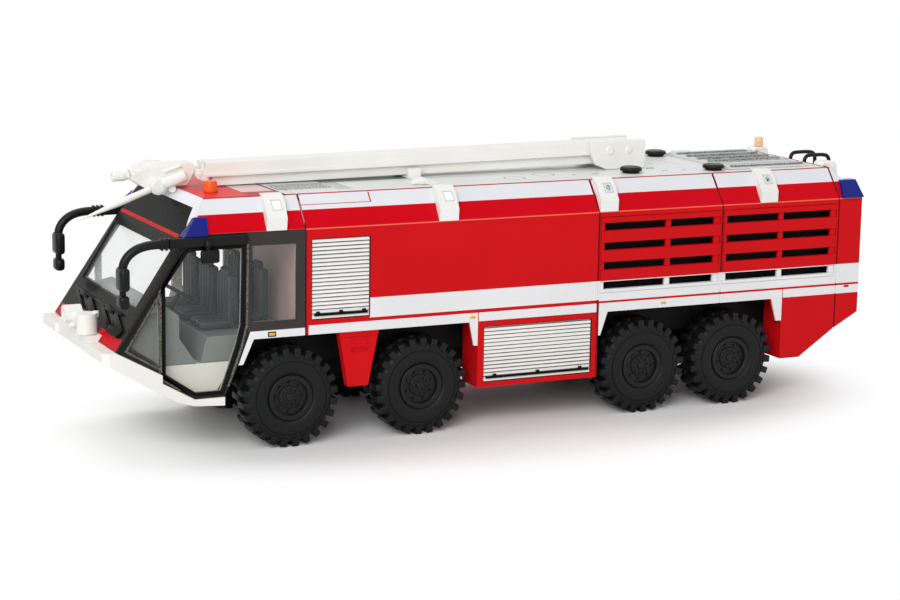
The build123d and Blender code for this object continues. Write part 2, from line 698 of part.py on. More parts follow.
def body_shell():
    """Red body with its arch legs, rear skirts and recesses for shutters and grilles."""
    upper = [
        (BODY_FRONT_X, BODY_LOW_Z),
        (SKIRT_TAIL_X, BODY_LOW_Z),
        (SKIRT_TAIL_X, SKIRT_TAIL_Z),
        (BODY_REAR_X, REAR_LOW_Z),
        (BODY_REAR_X, CREASE_Z),
        (ROOF_REAR_X, ROOF_Z),
        (BODY_FRONT_X, ROOF_Z),
    ]
    body = long_prism(section_points(0, 0), BODY_FRONT_X, BODY_REAR_X)
    body = body & side_prism(upper, -HALF_WIDTH - 1, HALF_WIDTH + 1)
    skirt = side_prism(
        [
            (SKIRT_FRONT_X, BODY_LOW_Z),
            (SKIRT_FRONT_X, SKIRT_LOW_Z),
            (SKIRT_KNEE_X, SKIRT_LOW_Z),
            (SKIRT_TAIL_X, SKIRT_TAIL_Z),
            (SKIRT_TAIL_X, BODY_LOW_Z),
        ],
        HALF_WIDTH - SKIRT_DEPTH,
        HALF_WIDTH,
    )
    legs = [
        arch_leg(LOCKER_FRONT_X, LOCKER_FRONT_LEG_FOOT, LOCKER_FRONT_LEG_TOP),
        arch_leg(LOCKER_REAR_X, -LOCKER_REAR_LEG_FOOT, -LOCKER_REAR_LEG_TOP),
        arch_leg(SKIRT_FRONT_X, SKIRT_LEG_FOOT, SKIRT_LEG_TOP),
    ]
    for piece in [skirt] + legs:
        for half in both_sides(piece):
            body = body + half
    for x in SEAM_X:
        body = body - seam_groove(x)
    high = SHUTTER_HIGH
    recess = block(
        high.front_x, high.rear_x, HALF_WIDTH - SHUTTER_SET_IN - SHUTTER_THICK, HALF_WIDTH + 1, high.low_z, high.top_z
    )
    depth = GRILLE_THICK - GRILLE_PROUD + GRILLE_CAVITY
    pockets = [
        block(g.front_x, g.rear_x, HALF_WIDTH - depth, HALF_WIDTH + 1, GRILLE_LOW_Z, GRILLE_TOP_Z) for g in GRILLES
    ]
    for cut in [recess] + pockets:
        for half in both_sides(cut):
            body = body - half
    return body


def grille_panel(g):
    """Left grille panel: two columns of openings, with boards that stand proud of the uprights."""
    outer = HALF_WIDTH + GRILLE_PROUD
    plate = block(
        g.front_x - SEAT, g.rear_x + SEAT, outer - GRILLE_THICK, outer, GRILLE_LOW_Z + SEAT, GRILLE_TOP_Z - SEAT
    )
    columns = (
        (g.front_x - g.margin_front, g.split_front_x),
        (g.split_rear_x, g.rear_x + g.margin_rear),
    )
    for row in range(SLOT_ROWS):
        top = SLOT_TOP_Z - row * SLOT_PITCH
        for front, rear in columns:
            plate = plate - block(front, rear, outer - 2, outer + 1, top - SLOT_HEIGHT, top)
        plate = plate - block(
            g.front_x, g.rear_x, outer - GRILLE_BOARD_STEP, outer + 1, top - SLOT_HEIGHT, top
        )
    return plate


def grille_liner(g):
    """Dark plate at the back of the cavity behind a grille panel."""
    back = HALF_WIDTH + GRILLE_PROUD - GRILLE_THICK - GRILLE_CAVITY
    return block(g.front_x - SEAT, g.rear_x + SEAT, back, back + GRILLE_LINER, GRILLE_LOW_Z + SEAT, GRILLE_TOP_Z - SEAT)


def shutter(s):
    """Left roller shutter: slats as small steps down the face."""
    outer = HALF_WIDTH - SHUTTER_SET_IN
    inner = outer - SHUTTER_THICK + SEAT
    height = s.top_z - s.low_z - 2 * SEAT
    pitch = height / s.slats
    points = [(inner, s.low_z + SEAT)]
    for slat in range(s.slats):
        low = s.low_z + SEAT + slat * pitch
        points.append((outer, low))
        points.append((outer - SLAT_STEP, low + pitch))
    points.append((inner, s.top_z - SEAT))
    return long_prism(points, s.front_x - SEAT, s.rear_x + SEAT)


def shutter_handle(s):
    """Dark bar handle near the foot of a shutter, with its three finger blocks."""
    face = HALF_WIDTH - SHUTTER_SET_IN
    low = s.low_z + HANDLE_RISE
    bar = block(
        s.front_x - HANDLE_MARGIN, s.rear_x + HANDLE_MARGIN, face, face + HANDLE_PROUD, low, low + HANDLE_HEIGHT
    )
    width = abs(s.rear_x - s.front_x)
    for share in (0.1, 0.5, 0.9):
        x = s.front_x - width * share
        bar = bar + block(x - 0.3, x + 0.3, face, face + HANDLE_PROUD, low, low + 2 * HANDLE_HEIGHT)
    return bar


def locker():
    """Left lower locker below the waistline, with the recess for its shutter."""
    low = SHUTTER_LOW
    box = block(
        LOCKER_FRONT_X, LOCKER_REAR_X, HALF_WIDTH - LOCKER_DEPTH, HALF_WIDTH, LOCKER_LOW_Z, BODY_LOW_Z - SEAT
    )
    return box - block(
        low.front_x, low.rear_x, HALF_WIDTH - SHUTTER_SET_IN - SHUTTER_THICK, HALF_WIDTH + 1, low.low_z, low.top_z
    )


def step_box():
    """Left tapered box between the first two wheels, with its raised square."""
    outline = [
        (STEP_TOP_FRONT_X, BODY_LOW_Z - SEAT),
        (STEP_LOW_FRONT_X, STEP_LOW_Z),
        (STEP_LOW_REAR_X, STEP_LOW_Z),
        (STEP_TOP_REAR_X, BODY_LOW_Z - SEAT),
    ]
    box = side_prism(outline, HALF_WIDTH - STEP_DEPTH, HALF_WIDTH)
    middle = (STEP_TOP_FRONT_X + STEP_TOP_REAR_X) / 2
    return box + block(middle - 1.3, middle + 1.3, HALF_WIDTH, HALF_WIDTH + STEP_BADGE, 15.5, 17.1)


def lug_ring(phase, y0, y1):
    """Band of the tyre with its lugs, as one outline drawn across the wheel."""
    pitch = 2 * math.pi / LUG_COUNT
    top_half = pitch * LUG_TOP_SHARE / 2
    root_half = pitch * LUG_ROOT_SHARE / 2
    top = TYRE_RADIUS / math.cos(top_half)
    root = TYRE_RADIUS - LUG_DEPTH
    points = []
    for lug in range(LUG_COUNT):
        centre = (lug + phase) * pitch - math.pi / 2
        for angle, radius in (
            (centre - root_half, root),
            (centre - top_half, top),
            (centre + top_half, top),
            (centre + root_half, root),
        ):
            points.append((radius * math.cos(angle), TYRE_RADIUS + radius * math.sin(angle)))
    return side_prism(points, y0, y1)


def tyre(x):
    """Left tyre: two bands of lugs, staggered by half a pitch, on a faceted bore."""
    middle = TYRE_FACE_Y - TYRE_WIDTH / 2
    body = lug_ring(0, middle, TYRE_FACE_Y) + lug_ring(0.5, TYRE_INNER_Y, middle)
    bore = cross_prism(0, TYRE_RADIUS, RIM_RADIUS + RIM_FIT, TYRE_BORE_SIDES, TYRE_INNER_Y - 1, TYRE_FACE_Y + 1)
    return Pos(x, 0, 0) * (body - bore)


def rim(x):
    """Left wheel rim with its dish and hub."""
    dish_y = RIM_FACE_Y - RIM_DISH_DEPTH
    wheel = cross_prism(x, TYRE_RADIUS, RIM_RADIUS, TYRE_BORE_SIDES, RIM_INNER_Y, RIM_FACE_Y)
    wheel = wheel - cross_prism(x, TYRE_RADIUS, RIM_DISH_RADIUS, TYRE_BORE_SIDES, dish_y, RIM_FACE_Y + 1)
    return wheel + cross_prism(x, TYRE_RADIUS, HUB_RADIUS, HUB_SIDES, dish_y - SEAT, dish_y + HUB_HEIGHT)


def axle(x):
    """Plain rod between a pair of rims."""
    return pin(x, TYRE_RADIUS, AXLE_RADIUS, RIM_INNER_Y)


def chassis():
    """Black chassis: deck, two long rails, a carrier and differential at each axle, and drive shafts."""
    deck = block(DECK_FRONT_X, DECK_REAR_X, -DECK_HALF_WIDTH, DECK_HALF_WIDTH, DECK_LOW_Z, BODY_LOW_Z - SEAT)
    frame = deck - block(CAB_REAR_X, DECK_FRONT_X + 1, -FAR, FAR, BODY_LOW_Z - 1.5, FAR)
    for y in (RAIL_OUTER_Y - RAIL_WIDTH / 2, -RAIL_OUTER_Y + RAIL_WIDTH / 2):
        frame = frame + block(
            RAIL_FRONT_X, DECK_REAR_X, y - RAIL_WIDTH / 2, y + RAIL_WIDTH / 2, RAIL_LOW_Z, DECK_LOW_Z + 0.1
        )
        frame = frame + block(
            TONGUE_FRONT_X, RAIL_FRONT_X - 1, y - RAIL_WIDTH / 2, y + RAIL_WIDTH / 2, RAIL_LOW_Z, TONGUE_TOP_Z
        )
    for x in AXLES_X:
        frame = frame + block(
            x - CARRIER_LENGTH / 2,
            x + CARRIER_LENGTH / 2,
            -CARRIER_HALF_WIDTH,
            CARRIER_HALF_WIDTH,
            CARRIER_LOW_Z,
            DECK_LOW_Z + 1,
        )
        frame = frame + cross_prism(x, TYRE_RADIUS, DIFF_RADIUS, DIFF_SIDES, -DIFF_WIDTH / 2, DIFF_WIDTH / 2)
    frame = frame + many_sided((AXLES_X[0], 0, SHAFT_Z), (AXLES_X[-1], 0, SHAFT_Z), SHAFT_RADIUS, SHAFT_SIDES)
    frame = frame + block(
        DECK_REAR_X + 0.5,
        TAIL_BAR_REAR_X,
        -TAIL_BAR_HALF_WIDTH,
        TAIL_BAR_HALF_WIDTH,
        TAIL_BAR_LOW_Z,
        TAIL_BAR_TOP_Z,
    )
    for x in AXLES_X:
        frame = frame - pin_hole(x, TYRE_RADIUS, AXLE_RADIUS + AXLE_CLEARANCE)
    return frame


def front_bumper():
    """White bumper and belly plate in one, with the raised platform that carries the monitor."""
    outline = [
        (BUMPER_FRONT_X, BUMPER_TOP_Z - BUMPER_GAP),
        (SCREEN_LOW_X, BUMPER_TOP_Z - BUMPER_GAP),
        (DOOR_FRONT_X, DOOR_FRONT_LOW_Z - BUMPER_GAP),
        (DOOR_FRONT_X, DOOR_FRONT_LOW_Z - DOOR_NOTCH - BUMPER_GAP),
        (DOOR_SILL_FRONT_X, DOOR_SILL_Z - BUMPER_GAP),
        (DOOR_SILL_REAR_X, DOOR_SILL_Z - BUMPER_GAP),
        (DOOR_SILL_REAR_X, STEP_PLATE_LOW_Z),
        (DOOR_SILL_FRONT_X, STEP_PLATE_LOW_Z + 0.3),
        (BUMPER_LIP_X, BUMPER_LIP_Z),
        (BUMPER_FRONT_X, BUMPER_TOP_Z - BUMPER_HEIGHT),
    ]
    bumper = side_prism(outline, -BUMPER_HALF_WIDTH, BUMPER_HALF_WIDTH)
    wing_x = BUMPER_FRONT_X - BUMPER_SWEEP
    half_plan = [
        (BUMPER_FRONT_X, PLATFORM_HALF),
        (wing_x, BUMPER_HALF_WIDTH - BUMPER_CORNER_Y),
        (wing_x - BUMPER_CORNER_X, BUMPER_HALF_WIDTH),
        (0, BUMPER_HALF_WIDTH),
    ]
    plan = half_plan + [(x, -y) for x, y in reversed(half_plan)]
    bumper = bumper & extrude(make_face(Polyline([(x, y, 0) for x, y in plan], close=True)), amount=FAR, dir=(0, 0, 1))
    platform_x = BUMPER_FRONT_X - PLATFORM_SET_BACK
    bumper = bumper - block(platform_x, BUMPER_FRONT_X + 1, -PLATFORM_HALF, PLATFORM_HALF, 0, FAR)
    seat_z = BUMPER_TOP_Z - BUMPER_GAP
    platform = [
        (platform_x, seat_z - 1),
        (platform_x, PLATFORM_TOP_Z),
        (screen_x(PLATFORM_TOP_Z, -BUMPER_GAP), PLATFORM_TOP_Z),
        (screen_x(seat_z, -BUMPER_GAP), seat_z),
        (screen_x(seat_z, -BUMPER_GAP), seat_z - 1),
    ]
    bumper = bumper + side_prism(platform, -PLATFORM_HALF, PLATFORM_HALF)
    socket_low = (MONITOR_X, MONITOR_Y, PLATFORM_TOP_Z - MONITOR_PEG_DEPTH - MONITOR_PEG_CLEARANCE)
    socket_radius = (MONITOR_PEG_RADIUS + MONITOR_PEG_CLEARANCE) / math.cos(math.pi / PIN_SIDES)
    return bumper - many_sided(socket_low, (MONITOR_X, MONITOR_Y, PLATFORM_TOP_Z + 1), socket_radius, PIN_SIDES)


def bumper_monitor():
    """Water monitor that swivels on a peg: drum, cross neck, short barrel with its foot, and a knob behind."""
    base = PLATFORM_TOP_Z + SEAT
    monitor = many_sided(
        (MONITOR_X, MONITOR_Y, PLATFORM_TOP_Z - MONITOR_PEG_DEPTH),
        (MONITOR_X, MONITOR_Y, base + 1),
        MONITOR_PEG_RADIUS,
        PIN_SIDES,
    )
    monitor = monitor + many_sided(
        (MONITOR_X, MONITOR_Y, base), (MONITOR_X, MONITOR_Y, MONITOR_DRUM_TOP_Z), MONITOR_DRUM_RADIUS, MONITOR_SIDES
    )
    monitor = monitor + cross_prism(
        MONITOR_X + 0.3, MONITOR_NECK_Z, MONITOR_NECK_RADIUS, HUB_SIDES, MONITOR_BARREL_Y, MONITOR_Y
    )
    barrel_end = (MONITOR_MUZZLE_X, MONITOR_BARREL_Y, MONITOR_BARREL_Z)
    monitor = monitor + many_sided(
        (MONITOR_BREECH_X, MONITOR_BARREL_Y, MONITOR_BARREL_Z), barrel_end, MONITOR_BARREL_RADIUS, MONITOR_SIDES
    )
    monitor = monitor + many_sided(
        (MONITOR_FOOT_X, MONITOR_BARREL_Y, MONITOR_FOOT_LOW_Z),
        (MONITOR_FOOT_X, MONITOR_BARREL_Y, MONITOR_BARREL_Z - 0.5),
        MONITOR_FOOT_RADIUS,
        HUB_SIDES,
    )
    monitor = monitor + many_sided(
        (MONITOR_KNOB_X, MONITOR_Y, MONITOR_KNOB_LOW_Z),
        (MONITOR_KNOB_X, MONITOR_Y, MONITOR_KNOB_TOP_Z),
        MONITOR_KNOB_RADIUS,
        TUBE_SIDES,
    )
    monitor = monitor + many_sided(
        (MONITOR_KNOB_X, MONITOR_Y, MONITOR_POST_LOW_Z),
        (MONITOR_KNOB_X, MONITOR_Y, MONITOR_KNOB_LOW_Z + 0.1),
        MONITOR_POST_RADIUS,
        TUBE_SIDES,
    )
    bore_start = (MONITOR_MUZZLE_X - MONITOR_BORE_DEPTH, MONITOR_BARREL_Y, MONITOR_BARREL_Z)
    bore_end = (MONITOR_MUZZLE_X + 1, MONITOR_BARREL_Y, MONITOR_BARREL_Z)
    return monitor - many_sided(bore_start, bore_end, MONITOR_BORE_RADIUS, HUB_SIDES)


def cab_floor():
    """Cream footwell block on the belly plate."""
    outline = [
        (FLOOR_REAR_X + 3.4, DOOR_SILL_Z + SEAT),
        (DOOR_SILL_FRONT_X, DOOR_SILL_Z + SEAT),
        (FLOOR_FRONT_X, DOOR_FRONT_LOW_Z - DOOR_NOTCH + 0.2),
        (FLOOR_FRONT_X, FLOOR_TOP_Z),
        (FLOOR_REAR_X, FLOOR_TOP_Z),
    ]
    return side_prism(outline, -FLOOR_HALF_WIDTH, FLOOR_HALF_WIDTH)


def dashboard():
    """Grey dashboard under the windscreen with the bench base behind it."""
    gap = CAB_WALL + DASH_FRONT_GAP
    outline = [
        (FLOOR_FRONT_X + 0.6, FLOOR_TOP_Z + SEAT),
        (screen_x(18.2, gap), 18.2),
        (screen_x(22.6, gap), 22.6),
        (19.4, 23.4),
        (17.8, 22.2),
        (17.8, SEAT_PAN_Z),
        (15.0, FLOOR_TOP_Z + SEAT),
    ]
    bench = [
        (14.4, FLOOR_TOP_Z + SEAT),
        (13.4, SEAT_PAN_Z - SEAT),
        (-1.4, SEAT_PAN_Z - SEAT),
        (-1.4, BODY_LOW_Z + 0.1),
        (6.0, BODY_LOW_Z + 0.1),
        (8.4, FLOOR_TOP_Z + SEAT),
    ]
    return [
        side_prism(outline, -FLOOR_HALF_WIDTH, FLOOR_HALF_WIDTH),
        side_prism(bench, -FLOOR_HALF_WIDTH, FLOOR_HALF_WIDTH),
    ]


def seat(place):
    """Seat with a cushion and a back of upright ribs."""
    half = SEAT_WIDTH / 2
    front = place.back_x
    cushion = block(
        front - 0.5,
        front + SEAT_LENGTH,
        place.y - half,
        place.y + half,
        SEAT_PAN_Z,
        SEAT_PAN_Z + SEAT_CUSHION,
    )
    pitch = SEAT_WIDTH / SEAT_RIBS
    plan = [(front - SEAT_BACK_THICK, place.y - half), (front - SEAT_BACK_THICK, place.y + half)]
    for rib in range(SEAT_RIBS):
        edge = place.y + half - rib * pitch
        plan.append((front, edge))
        plan.append((front + SEAT_RIB_PROUD, edge - pitch * 0.3))
        plan.append((front + SEAT_RIB_PROUD, edge - pitch * 0.7))
    plan.append((front, place.y - half))
    foot = make_face(Polyline([(x, y, SEAT_PAN_Z) for x, y in plan], close=True))
    return cushion + extrude(foot, amount=SEAT_BACK_HEIGHT, dir=(0, 0, 1))


def steering_wheel():
    """Steering wheel and its column, which ends on the dashboard."""
    outer = RegularPolygon(STEERING_RADIUS + STEERING_RIM, STEERING_SIDES)
    inner = RegularPolygon(STEERING_RADIUS - STEERING_RIM, STEERING_SIDES)
    ring = Pos(0, 0, -STEERING_RIM) * extrude(outer - inner, amount=2 * STEERING_RIM)
    spoke = Box(2 * STEERING_RADIUS, 2 * STEERING_RIM, STEERING_RIM)
    column = Pos(0, 0, -STEERING_COLUMN) * extrude(RegularPolygon(STEERING_RIM * 1.3, TUBE_SIDES), amount=STEERING_COLUMN)
    return Pos(STEERING_X, STEERING_Y, STEERING_Z) * Rot(0, -STEERING_TILT, 0) * (ring + spoke + column)


def mirror_arm():
    """Left mirror arm: beam on the cab side, three ribs, curved tube and two mirror heads."""
    y0 = HALF_WIDTH + SEAT
    y1 = y0 + ARM_THICK
    z0 = ARM_Z - ARM_HEIGHT / 2
    z1 = ARM_Z + ARM_HEIGHT / 2
    arm = block(ARM_REAR_X, ARM_FRONT_X, y0, y1, z0, z1)
    for x in ARM_RIB_X:
        arm = arm + block(
            x - ARM_RIB_LENGTH / 2,
            x + ARM_RIB_LENGTH / 2,
            y0,
            y1 + ARM_RIB_PROUD,
            z0 - ARM_RIB_PROUD,
            z1 + ARM_RIB_PROUD,
        )
    path = [
        (ARM_FRONT_X - 1.0, MIRROR_Y + 0.2, ARM_Z),
        (ARM_BEND_X, MIRROR_Y + 0.2, ARM_Z),
        (ARM_ELBOW_X, MIRROR_Y, ARM_ELBOW_Z),
        (MIRROR_HEAD_X, MIRROR_Y, MIRROR_FOOT_Z),
    ]
    arm = arm + tube(path, [1.6, 1.3], ARM_TUBE_RADIUS, TUBE_SIDES)
    for z, height, width in (
        (MIRROR_HEAD_Z, MIRROR_HEAD_HEIGHT, MIRROR_HEAD_WIDTH),
        (MIRROR_FOOT_Z, MIRROR_FOOT_HEIGHT, MIRROR_HEAD_WIDTH * 0.8),
    ):
        head = Box(MIRROR_HEAD_LENGTH, width, height)
        head = chamfer(head.edges(), MIRROR_EDGE)
        arm = arm + Pos(MIRROR_HEAD_X, MIRROR_Y, z) * head
    return arm


def kerb_mirror():
    """Left kerb mirror on its stalk below the mirror beam."""
    y = HALF_WIDTH + KERB_GAP + KERB_THICK / 2
    head = chamfer(Box(KERB_LENGTH, KERB_THICK, KERB_HEIGHT).edges(), KERB_EDGE)
    low = (KERB_X + 0.3, y, KERB_Z + KERB_HEIGHT / 2 - 0.3)
    high = (KERB_X + 0.3, y, ARM_Z - ARM_HEIGHT / 2 - SEAT)
    return Pos(KERB_X, y, KERB_Z) * head + many_sided(low, high, KERB_STALK_RADIUS, SHAFT_SIDES)


def wiper(place):
    """Twin wiper arm flat on the windscreen, with its pivot block."""
    low, high = WIPER_LOW_Z, WIPER_TOP_Z
    points = [
        (place.pivot_y, low),
        (place.pivot_y, low + WIPER_HEIGHT),
        (place.tip_y, high + WIPER_HEIGHT / 2),
        (place.tip_y, high),
    ]
    arm = long_prism(points, SCREEN_TOP_X, SCREEN_LOW_X + 4)
    arm = arm + long_prism(
        [
            (place.pivot_y - 0.8, low - 0.5),
            (place.pivot_y + 0.8, low - 0.5),
            (place.pivot_y + 0.8, low + 1.2),
            (place.pivot_y - 0.8, low + 1.2),
        ],
        SCREEN_TOP_X,
        SCREEN_LOW_X + 4,
    )
    arm = split(arm, bisect_by=screen_plane(-WIPER_GAP), keep=Keep.TOP)
    return split(arm, bisect_by=screen_plane(-WIPER_GAP - WIPER_THICK), keep=Keep.BOTTOM)


def lamp_pod(front):
    """Left side lamp pod: a thick cover that hangs over the roof edge down to the crease, upright at its foot."""
    top_y, top_z = ROOF_HALF_WIDTH, ROOF_Z
    low_y, low_z = HALF_WIDTH, CREASE_Z
    points = [
        (top_y - POD_LAP, top_z + SEAT),
        (top_y - POD_LAP, top_z + POD_PROUD),
        (top_y + POD_BROW_OUT, top_z + POD_PROUD),
        (top_y + POD_SHOULDER_OUT, top_z - POD_SHOULDER_DROP),
        (low_y + POD_KNEE_OUT, low_z + POD_KNEE_RISE),
        (low_y + POD_PROUD, low_z + SEAT),
        (low_y + SLOPE_OUT_Y * SEAT, low_z + SLOPE_OUT_Z * SEAT),
        (top_y + SLOPE_OUT_Y * SEAT, top_z + SLOPE_OUT_Z * SEAT),
    ]
    pod = long_prism(points, front + 1, front - POD_TOP_LENGTH - 1)
    rear = front - POD_TOP_LENGTH
    low_front = front + POD_LOW_FORWARD
    taper = [
        (front, ROOF_Z + 2),
        (front, ROOF_Z),
        (low_front, CREASE_Z),
        (low_front, CREASE_Z - 1),
        (low_front - POD_LOW_LENGTH, CREASE_Z - 1),
        (low_front - POD_LOW_LENGTH, CREASE_Z),
        (rear, ROOF_Z),
        (rear, ROOF_Z + 2),
    ]
    return pod & side_prism(taper, 0, HALF_WIDTH + 2)


def corner_lamp(points, inset, shape):
    """Left blue lamp: side-view outline wrapped over the slope, outside the given shape."""
    lamp = side_prism(points, HALF_WIDTH - inset, HALF_WIDTH + 2)
    lamp = lamp & long_prism(section_points(-LAMP_PROUD, CREASE_Z - 2), BODY_REAR_X - 2, SCREEN_LOW_X)
    return lamp - shape


def rear_end(growth):
    """Upper body without its details, grown at the slopes, to seat the rear lamps and pods on."""
    body = long_prism(section_points(-growth, 0), BODY_FRONT_X, BODY_REAR_X - growth)
    outline = [
        (BODY_REAR_X - growth, 0),
        (BODY_REAR_X - growth, CREASE_Z),
        (ROOF_REAR_X - growth, ROOF_Z + growth),
        (BODY_FRONT_X, ROOF_Z + growth),
        (BODY_FRONT_X, 0),
    ]
    return body & side_prism(outline, -FAR, FAR)


def corner_lamps():
    """Blue lamps at the cab's front corners and the body's rear corners, left-hand ones."""
    front = corner_lamp(
        [
            (FACET_TOP_X + LAMP_FRONT_OVERHANG, CREASE_Z - 0.25),
            (FACET_TOP_X - 1.9, CREASE_Z + LAMP_FRONT_HEIGHT),
            (FACET_TOP_X - 4.0, CREASE_Z + LAMP_FRONT_HEIGHT),
            (FACET_TOP_X - 3.5, CREASE_Z - 0.25),
        ],
        LAMP_INSET,
        cab_outer(),
    )
    rear = corner_lamp(
        [
            (ROOF_REAR_X - 0.2, CREASE_Z + 0.1),
            (ROOF_REAR_X - 0.9, CREASE_Z + LAMP_REAR_HEIGHT),
            (BODY_REAR_X + 0.4, CREASE_Z + LAMP_REAR_HEIGHT),
            (BODY_REAR_X + 0.05, CREASE_Z + 0.1),
        ],
        LAMP_REAR_INSET,
        rear_end(SEAT),
    )
    return front, rear


def roof_vent(x, y):
    """Black mushroom vent."""
    base = ROOF_Z + SEAT
    cap = extrude(RegularPolygon(VENT_RADIUS, VENT_SIDES), amount=VENT_HEIGHT * 0.6)
    cap = chamfer(cap.edges().group_by(Axis.Z)[-1], 0.25)
    stem = extrude(RegularPolygon(VENT_RADIUS * 0.8, SHAFT_SIDES), amount=VENT_HEIGHT * 0.5)
    return Pos(x, y, base + VENT_HEIGHT * 0.4) * cap + Pos(x, y, base) * stem


def roof_grating():
    """Grey walkway grating with raised bands along the truck."""
    plate = block(
        GRATING_FRONT_X,
        GRATING_REAR_X,
        -GRATING_HALF_WIDTH,
        GRATING_HALF_WIDTH,
        ROOF_Z + SEAT,
        ROOF_Z + SEAT + GRATING_THICK,
    )
    pitch = 2 * GRATING_HALF_WIDTH / GRATING_RIBS
    for rib in range(GRATING_RIBS):
        y = -GRATING_HALF_WIDTH + (rib + 0.5) * pitch
        plate = plate + block(
            GRATING_FRONT_X,
            GRATING_REAR_X,
            y - GRATING_RIB_WIDTH / 2,
            y + GRATING_RIB_WIDTH / 2,
            ROOF_Z + SEAT,
            ROOF_Z + SEAT + GRATING_THICK + GRATING_RIB_HEIGHT,
        )
    return plate


def rear_ladder():
    """Black ladder on the rear face, whose rails hook over the roof edge."""
    face_x = BODY_REAR_X - LADDER_GAP - LADDER_TUBE_RADIUS
    ladder = None
    for y in LADDER_Y:
        path = [
            (LADDER_FRONT_X, y, ROOF_Z + SEAT),
            (LADDER_FRONT_X, y, LADDER_TOP_Z),
            (face_x, y, LADDER_TOP_Z),
            (face_x, y, LADDER_LOW_Z),
            (BODY_REAR_X - SEAT, y, LADDER_LOW_Z),
        ]
        rail = tube(path, [0.5, 1.1, 0.2], LADDER_TUBE_RADIUS, LADDER_SIDES)
        ladder = rail if ladder is None else ladder + rail
    step = (CREASE_Z - LADDER_LOW_Z) / LADDER_RUNGS
    for rung in range(LADDER_RUNGS):
        z = LADDER_LOW_Z + 0.8 + rung * step
        ladder = ladder + cross_prism(face_x, z, LADDER_TUBE_RADIUS * 0.7, LADDER_SIDES, LADDER_Y[0], LADDER_Y[1])
    return ladder


def beacon(x, y, base, radius, height):
    """Round beacon with a slightly tapered lens."""
    foot = RegularPolygon(radius, BEACON_SIDES)
    top = Pos(0, 0, height) * RegularPolygon(radius * 0.9, BEACON_SIDES)
    lens = loft([foot, top], ruled=True)
    return Pos(x, y, base) * chamfer(lens.edges().group_by(Axis.Z)[-1], radius * 0.2)


def rear_pod():
    """Left white pod at the rear edge of the roof, which runs down over the rear slope."""
    slant = (BODY_REAR_X - ROOF_REAR_X) / SLOPE_HEIGHT
    front = REAR_POD_FRONT_X
    top = ROOF_Z + SEAT + REAR_POD_HEIGHT
    low_x = ROOF_REAR_X + slant * REAR_POD_DROP
    outline = [
        (front, ROOF_Z),
        (front, top - 0.3),
        (front - 0.35, top),
        (front - REAR_POD_TOP_LENGTH, top),
        (front - REAR_POD_TOP_LENGTH - 0.4, top - 0.4),
        (low_x - REAR_POD_OVERHANG, ROOF_Z - REAR_POD_DROP),
        (low_x + 1, ROOF_Z - REAR_POD_DROP),
    ]
    half = REAR_POD_WIDTH / 2
    return side_prism(outline, REAR_POD_Y - half, REAR_POD_Y + half) - rear_end(SEAT)


def tail_lamp():
    """Left tail lamp cluster on the rear face."""
    return block(
        BODY_REAR_X - SEAT,
        BODY_REAR_X - SEAT - TAIL_LAMP_PROUD,
        TAIL_LAMP_Y - TAIL_LAMP_WIDTH / 2,
        TAIL_LAMP_Y + TAIL_LAMP_WIDTH / 2,
        TAIL_LAMP_Z - TAIL_LAMP_HEIGHT / 2,
        TAIL_LAMP_Z + TAIL_LAMP_HEIGHT / 2,
    )


def drooped(shape):
    """Turns a level boom piece about the pivot to the slight droop it rests at."""
    return Pos(PIVOT_X, 0, PIVOT_Z) * Rot(0, BOOM_DROOP, 0) * Pos(-PIVOT_X, 0, -PIVOT_Z) * shape


def boom_pedestal():
    """White pedestal: two cheeks, floor and back plate around the boom's root, with the pivot pin."""
    floor_z = ROOF_Z + SEAT
    cheek = side_prism(
        [
            (PEDESTAL_FRONT_X, floor_z + PEDESTAL_NOSE),
            (PEDESTAL_FRONT_X, PEDESTAL_TOP_Z),
            (PEDESTAL_REAR_X, PEDESTAL_TOP_Z),
            (PEDESTAL_REAR_X, floor_z),
            (PEDESTAL_FRONT_X - PEDESTAL_NOSE, floor_z),
            (PEDESTAL_FRONT_X - PEDESTAL_NOSE * 0.3, floor_z + PEDESTAL_NOSE * 0.3),
        ],
        PEDESTAL_HALF - PEDESTAL_CHEEK,
        PEDESTAL_HALF,
    )
    cheek = cheek + cross_prism(
        BOSS_X, PIVOT_Z, BOSS_RADIUS, BOSS_SIDES, PEDESTAL_HALF - 0.2, PEDESTAL_HALF + BOSS_PROUD
    )
    pedestal = block(
        PEDESTAL_FRONT_X - PEDESTAL_NOSE,
        PEDESTAL_REAR_X,
        -PEDESTAL_HALF,
        PEDESTAL_HALF,
        floor_z,
        floor_z + PEDESTAL_FLOOR,
    )
    pedestal = pedestal + block(
        PEDESTAL_REAR_X + PEDESTAL_BACK, PEDESTAL_REAR_X, -PEDESTAL_HALF, PEDESTAL_HALF, floor_z, PEDESTAL_TOP_Z - 1.2
    )
    for half in both_sides(cheek):
        pedestal = pedestal + half
    return pedestal + pin(PIVOT_X, PIVOT_Z, PIVOT_RADIUS, PEDESTAL_HALF + BOSS_PROUD)


